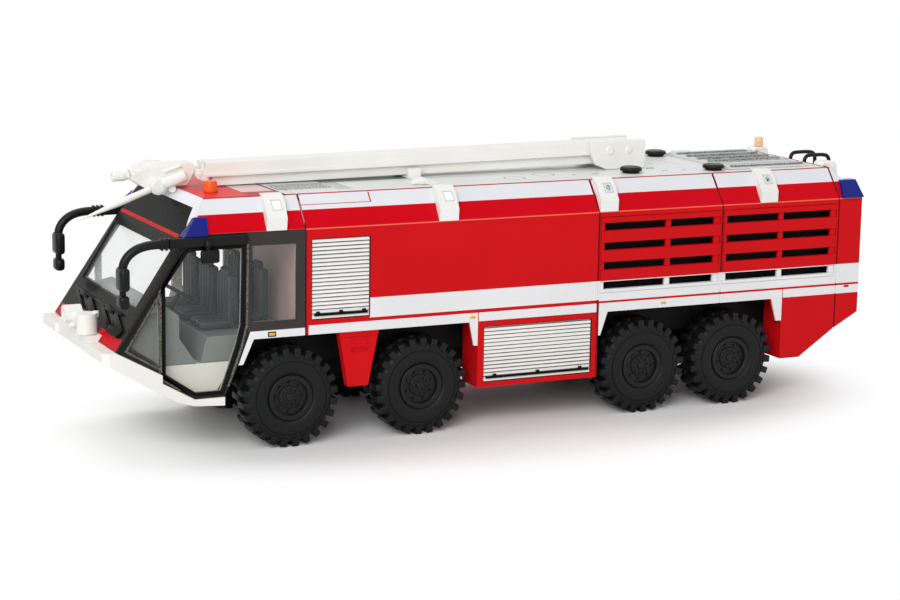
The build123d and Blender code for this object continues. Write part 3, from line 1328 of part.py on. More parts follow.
def boom_arm():
    """White boom: box with a lip, web below it, and a round root bored for the pivot."""
    top = PIVOT_Z + BOOM_TOP_RISE
    box_low = top - BOOM_BOX_HEIGHT
    arm = block(PIVOT_X, BOOM_TIP_X, -BOOM_BOX_HALF, BOOM_BOX_HALF, box_low, top)
    lip = BOOM_BOX_HALF + BOOM_LIP
    arm = arm + block(PIVOT_X + 3, BOOM_TIP_X, -lip, lip, box_low, box_low + BOOM_LIP_HEIGHT)
    arm = arm + block(
        PIVOT_X, BOOM_TIP_X - 1.2, -BOOM_WEB_HALF, BOOM_WEB_HALF, box_low - BOOM_WEB_HEIGHT, box_low + 0.2
    )
    root = cross_prism(PIVOT_X, PIVOT_Z, BOOM_ROOT_RADIUS, BOOM_ROOT_SIDES, -BOOM_BOX_HALF, BOOM_BOX_HALF)
    root = root & block(PIVOT_X - FAR, PIVOT_X + 1, -FAR, FAR, 0, top)
    arm = arm + root
    arm = arm - pin_hole(PIVOT_X, PIVOT_Z, PIVOT_RADIUS + PIVOT_CLEARANCE)
    arm = drooped(arm)
    fork = side_prism(
        [
            (BOOM_TIP_X - 0.5, HEAD_PIVOT_Z - 1.0),
            (BOOM_TIP_X - 0.5, HEAD_PIVOT_Z + 0.9),
            (HEAD_PIVOT_X - 0.4, HEAD_PIVOT_Z + 0.9),
            (HEAD_PIVOT_X, HEAD_PIVOT_Z + HEAD_EYE_RADIUS),
            (HEAD_PIVOT_X, HEAD_PIVOT_Z - HEAD_EYE_RADIUS),
            (HEAD_PIVOT_X - 0.4, HEAD_PIVOT_Z - 1.0),
        ],
        HEAD_FORK_HALF - HEAD_FORK_CHEEK,
        HEAD_FORK_HALF,
    )
    fork = fork + cross_prism(
        HEAD_PIVOT_X, HEAD_PIVOT_Z, HEAD_EYE_RADIUS, HUB_SIDES, HEAD_FORK_HALF - HEAD_FORK_CHEEK, HEAD_FORK_HALF
    )
    for half in both_sides(fork):
        arm = arm + half
    spike_low = (SPIKE_X, HEAD_FORK_HALF - HEAD_FORK_CHEEK / 2, HEAD_PIVOT_Z)
    spike_top = (SPIKE_X, HEAD_FORK_HALF - HEAD_FORK_CHEEK / 2, HEAD_PIVOT_Z + SPIKE_TOP_RISE)
    arm = arm + many_sided(spike_low, spike_top, SPIKE_RADIUS, SHAFT_SIDES)
    return arm + pin(HEAD_PIVOT_X, HEAD_PIVOT_Z, HEAD_PIN_RADIUS, HEAD_FORK_HALF + 0.1)


def boom_cradle():
    """White rest on the roof that straddles the boom's web."""
    x0 = CRADLE_X - CRADLE_LENGTH / 2
    x1 = CRADLE_X + CRADLE_LENGTH / 2
    base = ROOF_Z + SEAT
    cradle = block(x0, x1, -CRADLE_HALF, CRADLE_HALF, base, base + CRADLE_PLATE)
    cheek = block(x0, x1, CRADLE_CHEEK_Y, CRADLE_CHEEK_Y + CRADLE_CHEEK, base, CRADLE_TOP_Z)
    for half in both_sides(cheek):
        cradle = cradle + half
    buffer_y = CRADLE_HALF - BUFFER_INSET
    buffer = many_sided(
        (x1 - 0.2, buffer_y, base + BUFFER_RADIUS), (x1 + BUFFER_LENGTH, buffer_y, base + BUFFER_RADIUS),
        BUFFER_RADIUS,
        TUBE_SIDES,
    )
    for half in both_sides(buffer):
        cradle = cradle + half
    return cradle


def boom_head():
    """White boom head: tongue on the pin, faceted housing with its ridge, lance boss, motor and pipe."""
    z = HEAD_PIVOT_Z
    inner = HEAD_FORK_HALF - HEAD_FORK_CHEEK - 0.1
    head = cross_prism(HEAD_PIVOT_X, z, HEAD_EYE_RADIUS, HUB_SIDES, -inner, inner)
    head = head + block(HEAD_PIVOT_X, 12.4, -inner, inner, z - 0.55, z + 0.55)
    housing = [
        (20.9, z - 0.5),
        (20.6, z + 0.7),
        (16.5, z + 1.85),
        (10.95, z + 1.9),
        (10.7, z + 0.65),
        (12.0, z - 1.55),
        (19.05, z - 1.7),
    ]
    head = head + side_prism(housing, -HEAD_HALF, HEAD_HALF)
    ridge = [
        (20.8, z + 0.3),
        (20.9, z + 1.0),
        (19.9, z + 1.8),
        (18.15, z + 2.4),
        (15.7, z + 2.2),
        (14.4, z + 1.5),
    ]
    head = head + side_prism(ridge, -RIDGE_HALF, RIDGE_HALF)
    boss_x, boss_z = LANCE_BOSS_X, LANCE_BOSS_Z
    head = head + cross_prism(boss_x, boss_z, LANCE_BOSS_RADIUS, MONITOR_SIDES, HEAD_HALF - 0.5, LANCE_BOSS_Y)
    head = head + cross_prism(boss_x, boss_z, LANCE_CAP_RADIUS, MONITOR_SIDES, HEAD_HALF - 0.5, LANCE_CAP_Y)
    motor_y = HEAD_HALF + MOTOR_RADIUS * 0.7
    head = head + many_sided(
        (boss_x - 0.5, motor_y, boss_z + 0.2), (MOTOR_REAR_X, motor_y, z + MOTOR_RISE), MOTOR_RADIUS, HUB_SIDES
    )
    pipe_y = HEAD_HALF + PIPE_RADIUS * 0.6
    head = head + many_sided((15.9, pipe_y, z + 0.75), (13.1, pipe_y, z + 1.6), PIPE_RADIUS, SHAFT_SIDES)
    head = head + cross_prism(BULGE_X, z - BULGE_DROP, BULGE_RADIUS, TUBE_SIDES, -HEAD_HALF, HEAD_HALF + 0.6)
    return head - pin_hole(HEAD_PIVOT_X, z, HEAD_PIN_RADIUS + PIVOT_CLEARANCE)


def head_nozzle():
    """Round water nozzle at the front of the boom head."""
    neck_x = NOZZLE_NECK_X + SEAT
    nozzle = many_sided((neck_x, 0, NOZZLE_Z), (NOZZLE_COLLAR_X, 0, NOZZLE_Z), NOZZLE_NECK_RADIUS, HUB_SIDES)
    nozzle = nozzle + many_sided((NOZZLE_COLLAR_X, 0, NOZZLE_Z), (NOZZLE_TIP_X, 0, NOZZLE_Z), NOZZLE_RADIUS, NOZZLE_SIDES)
    return nozzle - many_sided(
        (NOZZLE_TIP_X - 0.8, 0, NOZZLE_Z), (NOZZLE_TIP_X + 1, 0, NOZZLE_Z), NOZZLE_BORE_RADIUS, HUB_SIDES
    )


def piercing_lance():
    """White piercing lance, a round bar that ends in a long point."""
    run = LANCE_TIP_X - LANCE_BOSS_X
    drop = LANCE_TIP_DROP - LANCE_BOSS_DROP
    length = math.hypot(run, drop)
    start = LANCE_BOSS_RADIUS + SEAT
    bar = Pos(0, 0, start) * extrude(RegularPolygon(LANCE_RADIUS, LANCE_SIDES), amount=length - LANCE_POINT - start)
    shoulder = Pos(0, 0, length - LANCE_POINT) * RegularPolygon(LANCE_RADIUS, LANCE_SIDES)
    tip = Pos(0, 0, length) * RegularPolygon(LANCE_RADIUS * 0.15, LANCE_SIDES)
    tilt = 90 + math.degrees(math.atan2(drop, run))
    return Pos(LANCE_BOSS_X, LANCE_Y, LANCE_BOSS_Z) * Rot(0, tilt, 0) * (bar + loft([shoulder, tip], ruled=True))


def flatten(shapes):
    """All solids of a piece or of a list of pieces."""
    solids = []
    for shape in shapes if isinstance(shapes, (list, tuple)) else [shapes]:
        solids.extend(shape.solids())
    return solids


def pieces():
    """Every sub-part by name."""
    front, side_left, side_right, roof = cab_pieces()
    glass = side_glass()
    front_lamp, rear_lamp = corner_lamps()
    pods = [half for x in POD_FRONT_X for half in both_sides(lamp_pod(x))]
    vents = [half for v in VENTS for half in both_sides(roof_vent(v.x, ROOF_HALF_WIDTH - v.inset))]
    base = ROOF_Z + SEAT
    parts = {
        "chassis": chassis(),
        "body_shell": body_shell(),
        "grilles": [half for g in GRILLES for half in both_sides(grille_panel(g))],
        "grille_liners": [half for g in GRILLES for half in both_sides(grille_liner(g))],
        "lockers": both_sides(locker()),
        "step_boxes": both_sides(step_box()),
        "shutters_high": both_sides(shutter(SHUTTER_HIGH)),
        "shutters_low": both_sides(shutter(SHUTTER_LOW)),
        "shutter_handles": both_sides(shutter_handle(SHUTTER_HIGH)) + both_sides(shutter_handle(SHUTTER_LOW)),
        "roof_grating": roof_grating(),
        "roof_vents": vents,
        "rear_ladder": rear_ladder(),
        "tail_lamps": both_sides(tail_lamp()),
        "cab_front": front,
        "cab_side_left": side_left,
        "cab_side_right": side_right,
        "cab_roof": roof,
        "windscreen_glass": windscreen_glass(),
        "side_glass_left": glass,
        "side_glass_right": [mirror(pane, about=Plane.XZ) for pane in glass],
        "cab_floor": cab_floor(),
        "dashboard": dashboard(),
        "seats": [seat(place) for place in SEATS],
        "steering_wheel": steering_wheel(),
        "front_bumper": front_bumper(),
        "bumper_monitor": bumper_monitor(),
        "wipers": [wiper(place) for place in WIPERS],
        "mirror_left": mirror_arm(),
        "mirror_right": mirror(mirror_arm(), about=Plane.XZ),
        "kerb_mirrors": both_sides(kerb_mirror()),
        "corner_lamps_front": both_sides(front_lamp),
        "corner_lamps_rear": both_sides(rear_lamp),
        "lamp_pods": pods,
        "beacons_front": both_sides(beacon(BEACON_X, BEACON_Y, base, BEACON_RADIUS, BEACON_HEIGHT)),
        "rear_pods": both_sides(rear_pod()),
        "beacon_rear": beacon(
            REAR_POD_FRONT_X - REAR_BEACON_BACK,
            -REAR_POD_Y,
            base + REAR_POD_HEIGHT + SEAT,
            REAR_BEACON_RADIUS,
            REAR_BEACON_HEIGHT,
        ),
        "boom_pedestal": boom_pedestal(),
        "boom_cradle": boom_cradle(),
        "boom_arm": boom_arm(),
        "boom_head": boom_head(),
        "head_nozzle": head_nozzle(),
        "piercing_lance": piercing_lance(),
    }
    for number, x in enumerate(AXLES_X, 1):
        parts[f"axle_{number}"] = axle(x)
        parts[f"rims_{number}"] = both_sides(rim(x))
        left = tyre(x)
        parts[f"tyre_{number}_left"] = left
        parts[f"tyre_{number}_right"] = mirror(left, about=Plane.XZ)
    return parts


for name, shape in pieces().items():
    solids = [Pos(-ORIGIN_X, 0, 0) * solid for solid in flatten(shape)]
    export_step(solids[0] if len(solids) == 1 else Compound(children=solids), f"parts/{name}.step")
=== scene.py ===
"""Looks of the scale model airport fire truck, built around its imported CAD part."""

from __future__ import annotations

import json
import logging
import math
from dataclasses import dataclass, field
from enum import Enum

import bmesh
import bpy
from mathutils import Matrix, Vector

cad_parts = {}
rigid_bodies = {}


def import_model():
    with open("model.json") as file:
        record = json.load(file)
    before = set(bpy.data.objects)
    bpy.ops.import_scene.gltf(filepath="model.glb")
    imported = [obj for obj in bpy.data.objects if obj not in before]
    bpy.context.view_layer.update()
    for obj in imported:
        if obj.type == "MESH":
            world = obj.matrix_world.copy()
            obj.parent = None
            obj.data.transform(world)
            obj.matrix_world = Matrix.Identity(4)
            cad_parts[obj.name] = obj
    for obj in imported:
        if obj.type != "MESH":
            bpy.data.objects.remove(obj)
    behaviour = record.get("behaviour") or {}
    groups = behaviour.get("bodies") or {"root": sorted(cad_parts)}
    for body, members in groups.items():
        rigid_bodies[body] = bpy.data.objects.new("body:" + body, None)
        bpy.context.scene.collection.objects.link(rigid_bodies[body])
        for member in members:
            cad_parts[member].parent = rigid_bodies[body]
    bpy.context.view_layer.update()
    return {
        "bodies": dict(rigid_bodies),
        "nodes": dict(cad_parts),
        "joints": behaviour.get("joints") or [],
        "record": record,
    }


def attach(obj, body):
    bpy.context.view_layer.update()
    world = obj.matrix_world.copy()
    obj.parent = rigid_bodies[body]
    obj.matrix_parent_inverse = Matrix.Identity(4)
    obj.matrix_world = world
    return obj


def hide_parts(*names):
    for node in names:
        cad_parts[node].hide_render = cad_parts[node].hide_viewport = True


LOG = logging.getLogger("truck")
SHIFT_MM = 37.55
MM = 0.001

Socket = bpy.types.NodeSocket
Tree = bpy.types.NodeTree
Colour = tuple[float, float, float, float]
Place = tuple[float, float, float]
Pair = tuple[float, float]
Pairs = tuple[Pair, ...]
Quad = tuple[float, float, float, float]


def linear(code: str) -> Colour:
    """Turns an sRGB hex value into linear RGBA.

    Args:
        code: Colour as "#RRGGBB".

    Returns:
        The four linear channels, with alpha 1.
    """
    channels = [int(code[start : start + 2], 16) / 255 for start in (1, 3, 5)]
    red, green, blue = (c / 12.92 if c <= 0.04045 else ((c + 0.055) / 1.055) ** 2.4 for c in channels)
    return red, green, blue, 1.0


def spot(x: float, y: float, z: float) -> Vector:
    """Turns a place in millimetres from the first axle into a point of the frame in metres."""
    return Vector(((x + SHIFT_MM) * MM, y * MM, z * MM))


def add_node(
    tree: Tree, kind: str, settings: dict | None = None, links: dict | None = None
) -> bpy.types.Node:
    """Adds a shader node.

    Args:
        tree: Node tree that takes the node.
        kind: Blender's identifier of the node.
        settings: Options of the node, or values of its inputs.
        links: Sockets that feed its inputs.

    Returns:
        The new node.
    """
    node = tree.nodes.new(kind)
    for key, value in (settings or {}).items():
        if isinstance(key, str) and hasattr(node, key):
            setattr(node, key, value)
        else:
            node.inputs[key].default_value = value
    for key, source in (links or {}).items():
        tree.links.new(source, node.inputs[key])
    return node


class Axis(Enum):
    """Direction in which a printed edge is measured."""

    ALONG = "along"
    ACROSS = "across"
    OUT = "out"
    UP = "up"


class Merge(Enum):
    """How several masks or distances become one."""

    OVERLAP = "MULTIPLY"
    UNION = "MAXIMUM"
    NEAREST = "MINIMUM"


@dataclass
class PrintField:
    """Masks of printed areas, measured in millimetres from the first axle."""

    tree: Tree
    axes: dict[Axis, Socket]
    blur: float = 0.025

    def beyond(self, distance: Socket, value: float) -> Socket:
        """Mask of all whose distance is over a value."""
        settings = {"From Min": value - self.blur, "From Max": value + self.blur}
        return add_node(self.tree, "ShaderNodeMapRange", settings, {"Value": distance}).outputs["Result"]

    def over(self, axis: Axis, value: float) -> Socket:
        """Mask of all that lies beyond a value."""
        return self.beyond(self.axes[axis], value)

    def under(self, axis: Axis, value: float) -> Socket:
        """Mask of all that lies short of a value."""
        node = add_node(
            self.tree,
            "ShaderNodeMapRange",
            {"From Min": value - self.blur, "From Max": value + self.blur, "To Min": 1.0, "To Max": 0.0},
            {"Value": self.axes[axis]},
        )
        return node.outputs["Result"]

    def merge(self, rule: Merge, values: tuple[Socket, ...]) -> Socket:
        """Makes one mask or distance of several.

        Args:
            rule: How they are combined.
            values: The masks or distances.

        Returns:
            The combined one.
        """
        result = values[0]
        for value in values[1:]:
            node = add_node(self.tree, "ShaderNodeMath", {"operation": rule.value}, {0: result, 1: value})
            result = node.outputs[0]
        return result

    def both(self, *masks: Socket) -> Socket:
        """Overlap of masks."""
        return self.merge(Merge.OVERLAP, masks)

    def either(self, *masks: Socket) -> Socket:
        """Union of masks."""
        return self.merge(Merge.UNION, masks)

    def outside(self, mask: Socket) -> Socket:
        """Everything that a mask leaves free."""
        return add_node(self.tree, "ShaderNodeMath", {"operation": "SUBTRACT", 0: 1.0}, {1: mask}).outputs[0]

    def band(self, axis: Axis, low: float, high: float) -> Socket:
        """Mask of a band between two values."""
        return self.both(self.over(axis, low), self.under(axis, high))

    def bands(self, axis: Axis, places: Pairs) -> Socket:
        """Mask of several bands in one direction."""
        return self.either(*(self.band(axis, low, high) for low, high in places))

    def window(self, x0: float, x1: float, z0: float, z1: float) -> Socket:
        """Mask of a rectangle in side view."""
        return self.both(self.band(Axis.ALONG, x0, x1), self.band(Axis.UP, z0, z1))

    def patch(self, x0: float, x1: float, y0: float, y1: float) -> Socket:
        """Mask of a rectangle on the left of the roof, seen from above."""
        return self.both(self.band(Axis.ALONG, x0, x1), self.band(Axis.ACROSS, y0, y1))

    def twin(self, x0: float, x1: float, y0: float, y1: float) -> Socket:
        """Mask of a rectangle and its mirror image on the roof, seen from above."""
        return self.both(self.band(Axis.ALONG, x0, x1), self.band(Axis.OUT, y0, y1))

    def beside(self, first: Pair, second: Pair) -> Socket:
        """Distance in millimetres to the left of a line in side view.

        Args:
            first: Start of the line as (x, z).
            second: End of the line as (x, z).

        Returns:
            The distance, negative to the right of the line.
        """
        run, rise = second[0] - first[0], second[1] - first[1]
        length = math.hypot(run, rise)
        level = (first[0] * rise - first[1] * run) / length
        across = add_node(
            self.tree,
            "ShaderNodeMath",
            {"operation": "MULTIPLY_ADD", 1: -rise / length, 2: level},
            {0: self.axes[Axis.ALONG]},
        )
        total = add_node(
            self.tree,
            "ShaderNodeMath",
            {"operation": "MULTIPLY_ADD", 1: run / length},
            {0: self.axes[Axis.UP], 2: across.outputs[0]},
        )
        return total.outputs[0]

    def depth(self, corners: Pairs) -> Socket:
        """Distance in millimetres from the edge of a convex outline in side view, positive inside it.

        Args:
            corners: Corners as (x, z), counterclockwise with x to the right.

        Returns:
            The distance.
        """
        sides = zip(corners, corners[1:] + corners[:1])
        return self.merge(Merge.NEAREST, tuple(self.beside(first, second) for first, second in sides))

    def between(self, distance: Socket, low: float, high: float) -> Socket:
        """Mask of all whose distance lies between two values."""
        return self.both(self.beyond(distance, low), self.outside(self.beyond(distance, high)))

    def reach(self, first: Axis, second: Axis, centre: Pair, squeeze: float = 1.0) -> Socket:
        """Distance in millimetres from a point, measured in two directions.

        Args:
            first: First direction.
            second: Second direction.
            centre: Place of the point in those directions.
            squeeze: Factor on the second direction, which makes ellipses of circles.

        Returns:
            The distance.
        """
        across = add_node(
            self.tree, "ShaderNodeMath", {"operation": "SUBTRACT", 1: centre[0]}, {0: self.axes[first]}
        )
        upward = add_node(
            self.tree,
            "ShaderNodeMath",
            {"operation": "MULTIPLY_ADD", 1: squeeze, 2: -centre[1] * squeeze},
            {0: self.axes[second]},
        )
        pair = add_node(
            self.tree, "ShaderNodeCombineXYZ", links={"X": across.outputs[0], "Y": upward.outputs[0]}
        )
        length = add_node(self.tree, "ShaderNodeVectorMath", {"operation": "LENGTH"}, {0: pair.outputs[0]})
        return length.outputs["Value"]

    def mix(self, base: Socket | str, ink: Socket | str, mask: Socket) -> Socket:
        """Lays ink over a base where the mask is full; each is a socket or a hex value."""
        node = add_node(self.tree, "ShaderNodeMix", {"data_type": "RGBA"}, {0: mask})
        for place, value in ((6, base), (7, ink)):
            if isinstance(value, str):
                node.inputs[place].default_value = linear(value)
            else:
                self.tree.links.new(value, node.inputs[place])
        return node.outputs[2]

    def layers(self, base: Socket | str, inks: tuple[tuple[Socket | str, Socket], ...]) -> Socket:
        """Lays several inks over a base in order, each where its mask is full."""
        for ink, mask in inks:
            base = self.mix(base, ink, mask)
        return base

    def speckle(self, size: float, share: float, softness: float = 0.08) -> Socket:
        """Mask of irregular dots.

        Args:
            size: Width of a dot in millimetres.
            share: Share of the surface that the dots cover.
            softness: Width of their blurred edge, as a share of the noise range.

        Returns:
            The mask.
        """
        axes = {"X": self.axes[Axis.ALONG], "Y": self.axes[Axis.ACROSS], "Z": self.axes[Axis.UP]}
        place = add_node(self.tree, "ShaderNodeCombineXYZ", links=axes)
        settings = {"Scale": 1 / size, "Detail": 3.0}
        noise = add_node(self.tree, "ShaderNodeTexNoise", settings, {"Vector": place.outputs[0]})
        middle = 0.68 - 0.36 * share
        settings = {"From Min": middle - softness, "From Max": middle + softness}
        dots = add_node(self.tree, "ShaderNodeMapRange", settings, {"Value": noise.outputs[0]})
        return dots.outputs["Result"]

    def lines(self, axis: Axis, start: float, pitch: float, width: float) -> Socket:
        """Mask of fine lines at an even pitch.

        Args:
            axis: Direction in which they follow each other.
            start: Place of one line's middle.
            pitch: Distance from line to line.
            width: Width of a line.

        Returns:
            The mask.
        """
        turn = add_node(
            self.tree,
            "ShaderNodeMath",
            {"operation": "MULTIPLY_ADD", 1: 1 / pitch, 2: 0.5 - start / pitch},
            {0: self.axes[axis]},
        )
        share = add_node(self.tree, "ShaderNodeMath", {"operation": "FRACT"}, {0: turn.outputs[0]})
        off = add_node(self.tree, "ShaderNodeMath", {"operation": "SUBTRACT", 1: 0.5}, {0: share.outputs[0]})
        near = add_node(self.tree, "ShaderNodeMath", {"operation": "ABSOLUTE"}, {0: off.outputs[0]})
        half = 0.5 * width / pitch
        settings = {"From Min": half * 0.6, "From Max": half * 1.4, "To Min": 1.0, "To Max": 0.0}
        drawn = add_node(self.tree, "ShaderNodeMapRange", settings, {"Value": near.outputs[0]})
        return drawn.outputs["Result"]


def blank_material(name: str) -> tuple[bpy.types.Material, Socket]:
    """Starts a material whose patterns are placed in millimetres from the first axle.

    Args:
        name: Name of the material.

    Returns:
        The material and the socket of those places.
    """
    made = bpy.data.materials.new(name)
    made.use_nodes = True
    tree = made.node_tree
    tree.nodes.clear()
    coordinates = add_node(tree, "ShaderNodeTexCoord")
    settings = {"Location": (-SHIFT_MM, 0.0, 0.0), "Scale": (1 / MM, 1 / MM, 1 / MM)}
    place = add_node(tree, "ShaderNodeMapping", settings, {"Vector": coordinates.outputs["Object"]})
    return made, place.outputs[0]


@dataclass(frozen=True)
class Finish:
    """Moulded or printed surface with a fine grain. Grain and cloud widths are in millimetres.

    The real grain is finer than a pixel, so it is drawn a little coarser than it is.
    """

    name: str
    colour: str
    roughness: float = 0.4
    unevenness: float = 0.06
    ior: float = 1.49
    gloss: float = 0.14
    grain: float = 0.35
    grain_depth: float = 0.003
    cloud: float = 12.5
    tone: float = 0.05
    subsurface: float = 0.0
    glow_depth: float = 0.6

    def ink(self, prints: PrintField) -> Socket | None:
        """Printed colour, or None where the surface has one colour throughout."""
        return None

    def material(self) -> bpy.types.Material:
        """Builds the material with its grain and tone on Object coordinates."""
        made, place = blank_material(self.name)
        tree = made.node_tree
        parts = add_node(tree, "ShaderNodeSeparateXYZ", links={0: place})
        out = add_node(tree, "ShaderNodeMath", {"operation": "ABSOLUTE"}, {0: parts.outputs[1]})
        axes = {
            Axis.ALONG: parts.outputs[0],
            Axis.ACROSS: parts.outputs[1],
            Axis.OUT: out.outputs[0],
            Axis.UP: parts.outputs[2],
        }
        settings = {"Scale": 1 / self.cloud, "Detail": 2.0}
        cloud = add_node(tree, "ShaderNodeTexNoise", settings, {"Vector": place})
        shade = add_node(
            tree,
            "ShaderNodeMapRange",
            {"From Min": 0.35, "From Max": 0.65, "To Min": 1.0 - self.tone, "To Max": 1.0},
            {"Value": cloud.outputs[0]},
        )
        ink = self.ink(PrintField(tree, axes))
        tint = add_node(tree, "ShaderNodeMix", {"data_type": "RGBA", "blend_type": "MULTIPLY", 0: 1.0})
        if ink is None:
            tint.inputs[6].default_value = linear(self.colour)
        else:
            tree.links.new(ink, tint.inputs[6])
        tree.links.new(shade.outputs[0], tint.inputs[7])
        settings = {"Scale": 1 / self.grain, "Detail": 3.0}
        grain = add_node(tree, "ShaderNodeTexNoise", settings, {"Vector": place})
        bump = add_node(
            tree,
            "ShaderNodeBump",
            {"Strength": 1.0, "Distance": self.grain_depth * MM},
            {"Height": grain.outputs[0]},
        )
        rough = add_node(
            tree,
            "ShaderNodeMapRange",
            {"To Min": self.roughness - self.unevenness, "To Max": self.roughness + self.unevenness},
            {"Value": grain.outputs[0]},
        )
        links = {
            "Base Color": tint.outputs[2],
            "Roughness": rough.outputs[0],
            "Normal": bump.outputs[0],
        }
        settings = {"IOR": self.ior, "Specular IOR Level": self.gloss}
        if self.subsurface:
            settings |= {
                "Subsurface Weight": self.subsurface,
                "Subsurface Radius": (1.0, 0.95, 0.85),
                "Subsurface Scale": self.glow_depth * MM,
            }
        shader = add_node(tree, "ShaderNodeBsdfPrincipled", settings, links)
        add_node(tree, "ShaderNodeOutputMaterial", links={"Surface": shader.outputs[0]})
        return made


@dataclass(frozen=True)
class ClearPane(Finish):
    """Clear injection-moulded styrene: glossy, faintly tinted, light passes straight through."""

    veil: float = 0.05
    glare: float = 0.4
    ripple_scale: float = 0.12
    ripple_depth: float = 0.03
    rim_width: float = 0.15

    def material(self) -> bpy.types.Material:
        """Builds a see-through shell whose gloss grows at grazing angles."""
        made, place = blank_material(self.name)
        tree = made.node_tree
        settings = {"Scale": self.ripple_scale, "Detail": 1.0}
        ripple = add_node(tree, "ShaderNodeTexNoise", settings, {"Vector": place})
        settings = {"Distance": self.ripple_depth * MM}
        bump = add_node(tree, "ShaderNodeBump", settings, {"Height": ripple.outputs[0]})
        edge = add_node(tree, "ShaderNodeLayerWeight", {"Blend": self.rim_width}, {"Normal": bump.outputs[0]})
        alpha = add_node(
            tree,
            "ShaderNodeMapRange",
            {"To Min": self.veil, "To Max": self.glare},
            {"Value": edge.outputs["Fresnel"]},
        )
        shader = add_node(
            tree,
            "ShaderNodeBsdfPrincipled",
            {
                "Base Color": linear(self.colour),
                "Roughness": self.roughness,
                "IOR": self.ior,
                "Specular IOR Level": self.gloss,
            },
            {"Alpha": alpha.outputs[0], "Normal": bump.outputs[0]},
        )
        add_node(tree, "ShaderNodeOutputMaterial", links={"Surface": shader.outputs[0]})
        return made


